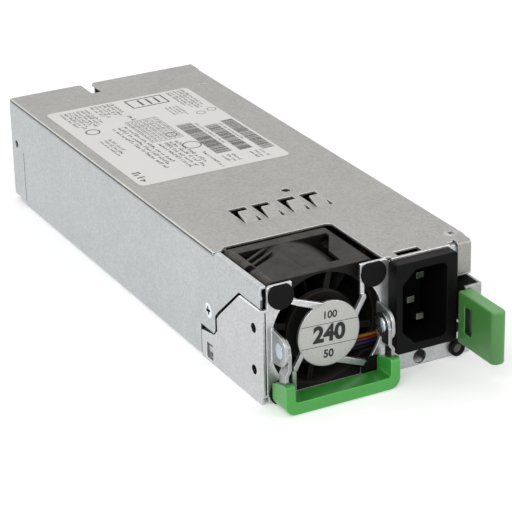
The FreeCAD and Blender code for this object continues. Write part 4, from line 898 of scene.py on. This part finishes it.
def outside_case(f):
    """The floor's lift to white, which falls to nothing under the case."""
    parts = f.node("ShaderNodeSeparateXYZ")
    f.link(f.place, parts.inputs[0])
    ramps = []
    for axis in (0, 1):
        away = f.math("ABSOLUTE", parts.outputs[axis])
        ramps.append(f.span(away, CASE_HIGH[axis] - 5.0 * MM, CASE_HIGH[axis], 0.0, NEAR_LIFT))
    return f.math("MAXIMUM", *ramps)


def far_from_case(f):
    """A further lift that makes the floor white where the lamps don't reach."""
    away = f.node("ShaderNodeVectorMath", operation="LENGTH")
    f.link(f.place, away.inputs[0])
    return f.span(away.outputs["Value"], 0.35, 1.0, 0.0, FAR_LIFT)


def make_floor():
    """Pale floor that reads white to the camera and keeps the object's shadow."""
    f = Finish("studio_floor", specular=0.1)
    cloud = f.node("ShaderNodeTexNoise")
    cloud.inputs["Scale"].default_value = 3.0
    shader = f.shader.inputs
    f.link(f.span(cloud.outputs[0], 0.0, 1.0, 0.86, 0.90), shader["Base Color"])
    shader["Roughness"].default_value = 0.9
    rays = f.node("ShaderNodeLightPath").outputs
    seen = f.math("MAXIMUM", rays["Is Camera Ray"], rays["Is Glossy Ray"])
    near = f.math("MULTIPLY", seen, outside_case(f))
    far = f.math("MULTIPLY", rays["Is Camera Ray"], far_from_case(f))
    shader["Emission Color"].default_value = (1, 1, 1, 1)
    f.link(f.math("ADD", near, far), shader["Emission Strength"])
    bm = bmesh.new()
    bmesh.ops.create_grid(bm, x_segments=8, y_segments=8, size=6.0)
    mesh = bpy.data.meshes.new("floor")
    bm.to_mesh(mesh)
    bm.free()
    mesh.materials.append(f.material)
    floor = bpy.data.objects.new("floor", mesh)
    bpy.context.scene.collection.objects.link(floor)
    floor.location.z = cad_box[0].z - 0.1 * MM


def make_lights():
    """Three soft lamps that look at the case's middle."""
    target = Vector((0, 0, 0.02))
    for name, size, energy, at in (
        ("key", (0.9, 0.7), 7.0, (-0.75, -0.85, 0.85)),
        ("fill", (0.8, 0.8), 3.0, (0.9, -0.9, 0.5)),
        ("top", (0.8, 0.8), 2.0, (0.1, 0.5, 1.1)),
    ):
        data = bpy.data.lights.new(name, "AREA")
        data.shape = "RECTANGLE"
        data.size, data.size_y = size
        data.energy = energy
        lamp = bpy.data.objects.new(name, data)
        bpy.context.scene.collection.objects.link(lamp)
        lamp.location = at
        lamp.rotation_euler = (target - lamp.location).to_track_quat("-Z", "Y").to_euler()


def make_camera():
    """The camera looks down on the front left, with a slight roll."""
    azimuth = math.radians(-27.59)
    elevation = math.radians(23.75)
    roll = math.radians(-1.32)
    target = Vector((-6.74, -37.16, 20.0)) * MM
    distance = 716.8 * MM
    back = Vector((math.sin(azimuth) * math.cos(elevation), -math.cos(azimuth) * math.cos(elevation),
                   math.sin(elevation)))
    right = (-back).cross(Vector((0, 0, 1))).normalized()
    up = right.cross(-back)
    turned_right = right * math.cos(roll) + up * math.sin(roll)
    turned_up = up * math.cos(roll) - right * math.sin(roll)
    data = bpy.data.cameras.new("camera")
    data.sensor_width = 36.0
    data.lens = 154.4
    data.clip_start = 0.01
    data.clip_end = 50.0
    camera = bpy.data.objects.new("camera", data)
    bpy.context.scene.collection.objects.link(camera)
    place = Matrix((turned_right, turned_up, back)).transposed().to_4x4()
    place.translation = target + back * distance
    camera.matrix_world = place
    bpy.context.scene.camera = camera


def main():
    bpy.context.scene.view_settings.view_transform = "Standard"
    finishes = make_finishes()
    make_camera()
    make_world()
    make_floor()
    make_lights()
    dress(finishes)
    black_ink = ink("black_ink", (0.02, 0.02, 0.02))
    label_ink = ink("label_ink", (0.045, 0.045, 0.045))
    make_label_print(label_ink)
    make_hub_print(black_ink)
    # The top screw: its head's edge darkened as a painted shade ring round the head.
    top_screw = plated("screw_top", (0.47, 0.465, 0.45), 0.30, 0.3 * MM, rim=0.35)
    # Painted shade for the floors of the cross recesses: near black at the side, lighter on top.
    side_recess_shade = plated("recess_side_shade", (0.02, 0.02, 0.02), 0.6)
    top_recess_shade = plated("recess_top_shade", (0.16, 0.16, 0.155), 0.5)
    make_case_screws((finishes["screw_steel"], top_screw), (side_recess_shade, top_recess_shade))
    make_pivot_rivets(finishes["rivet_steel"])


main()
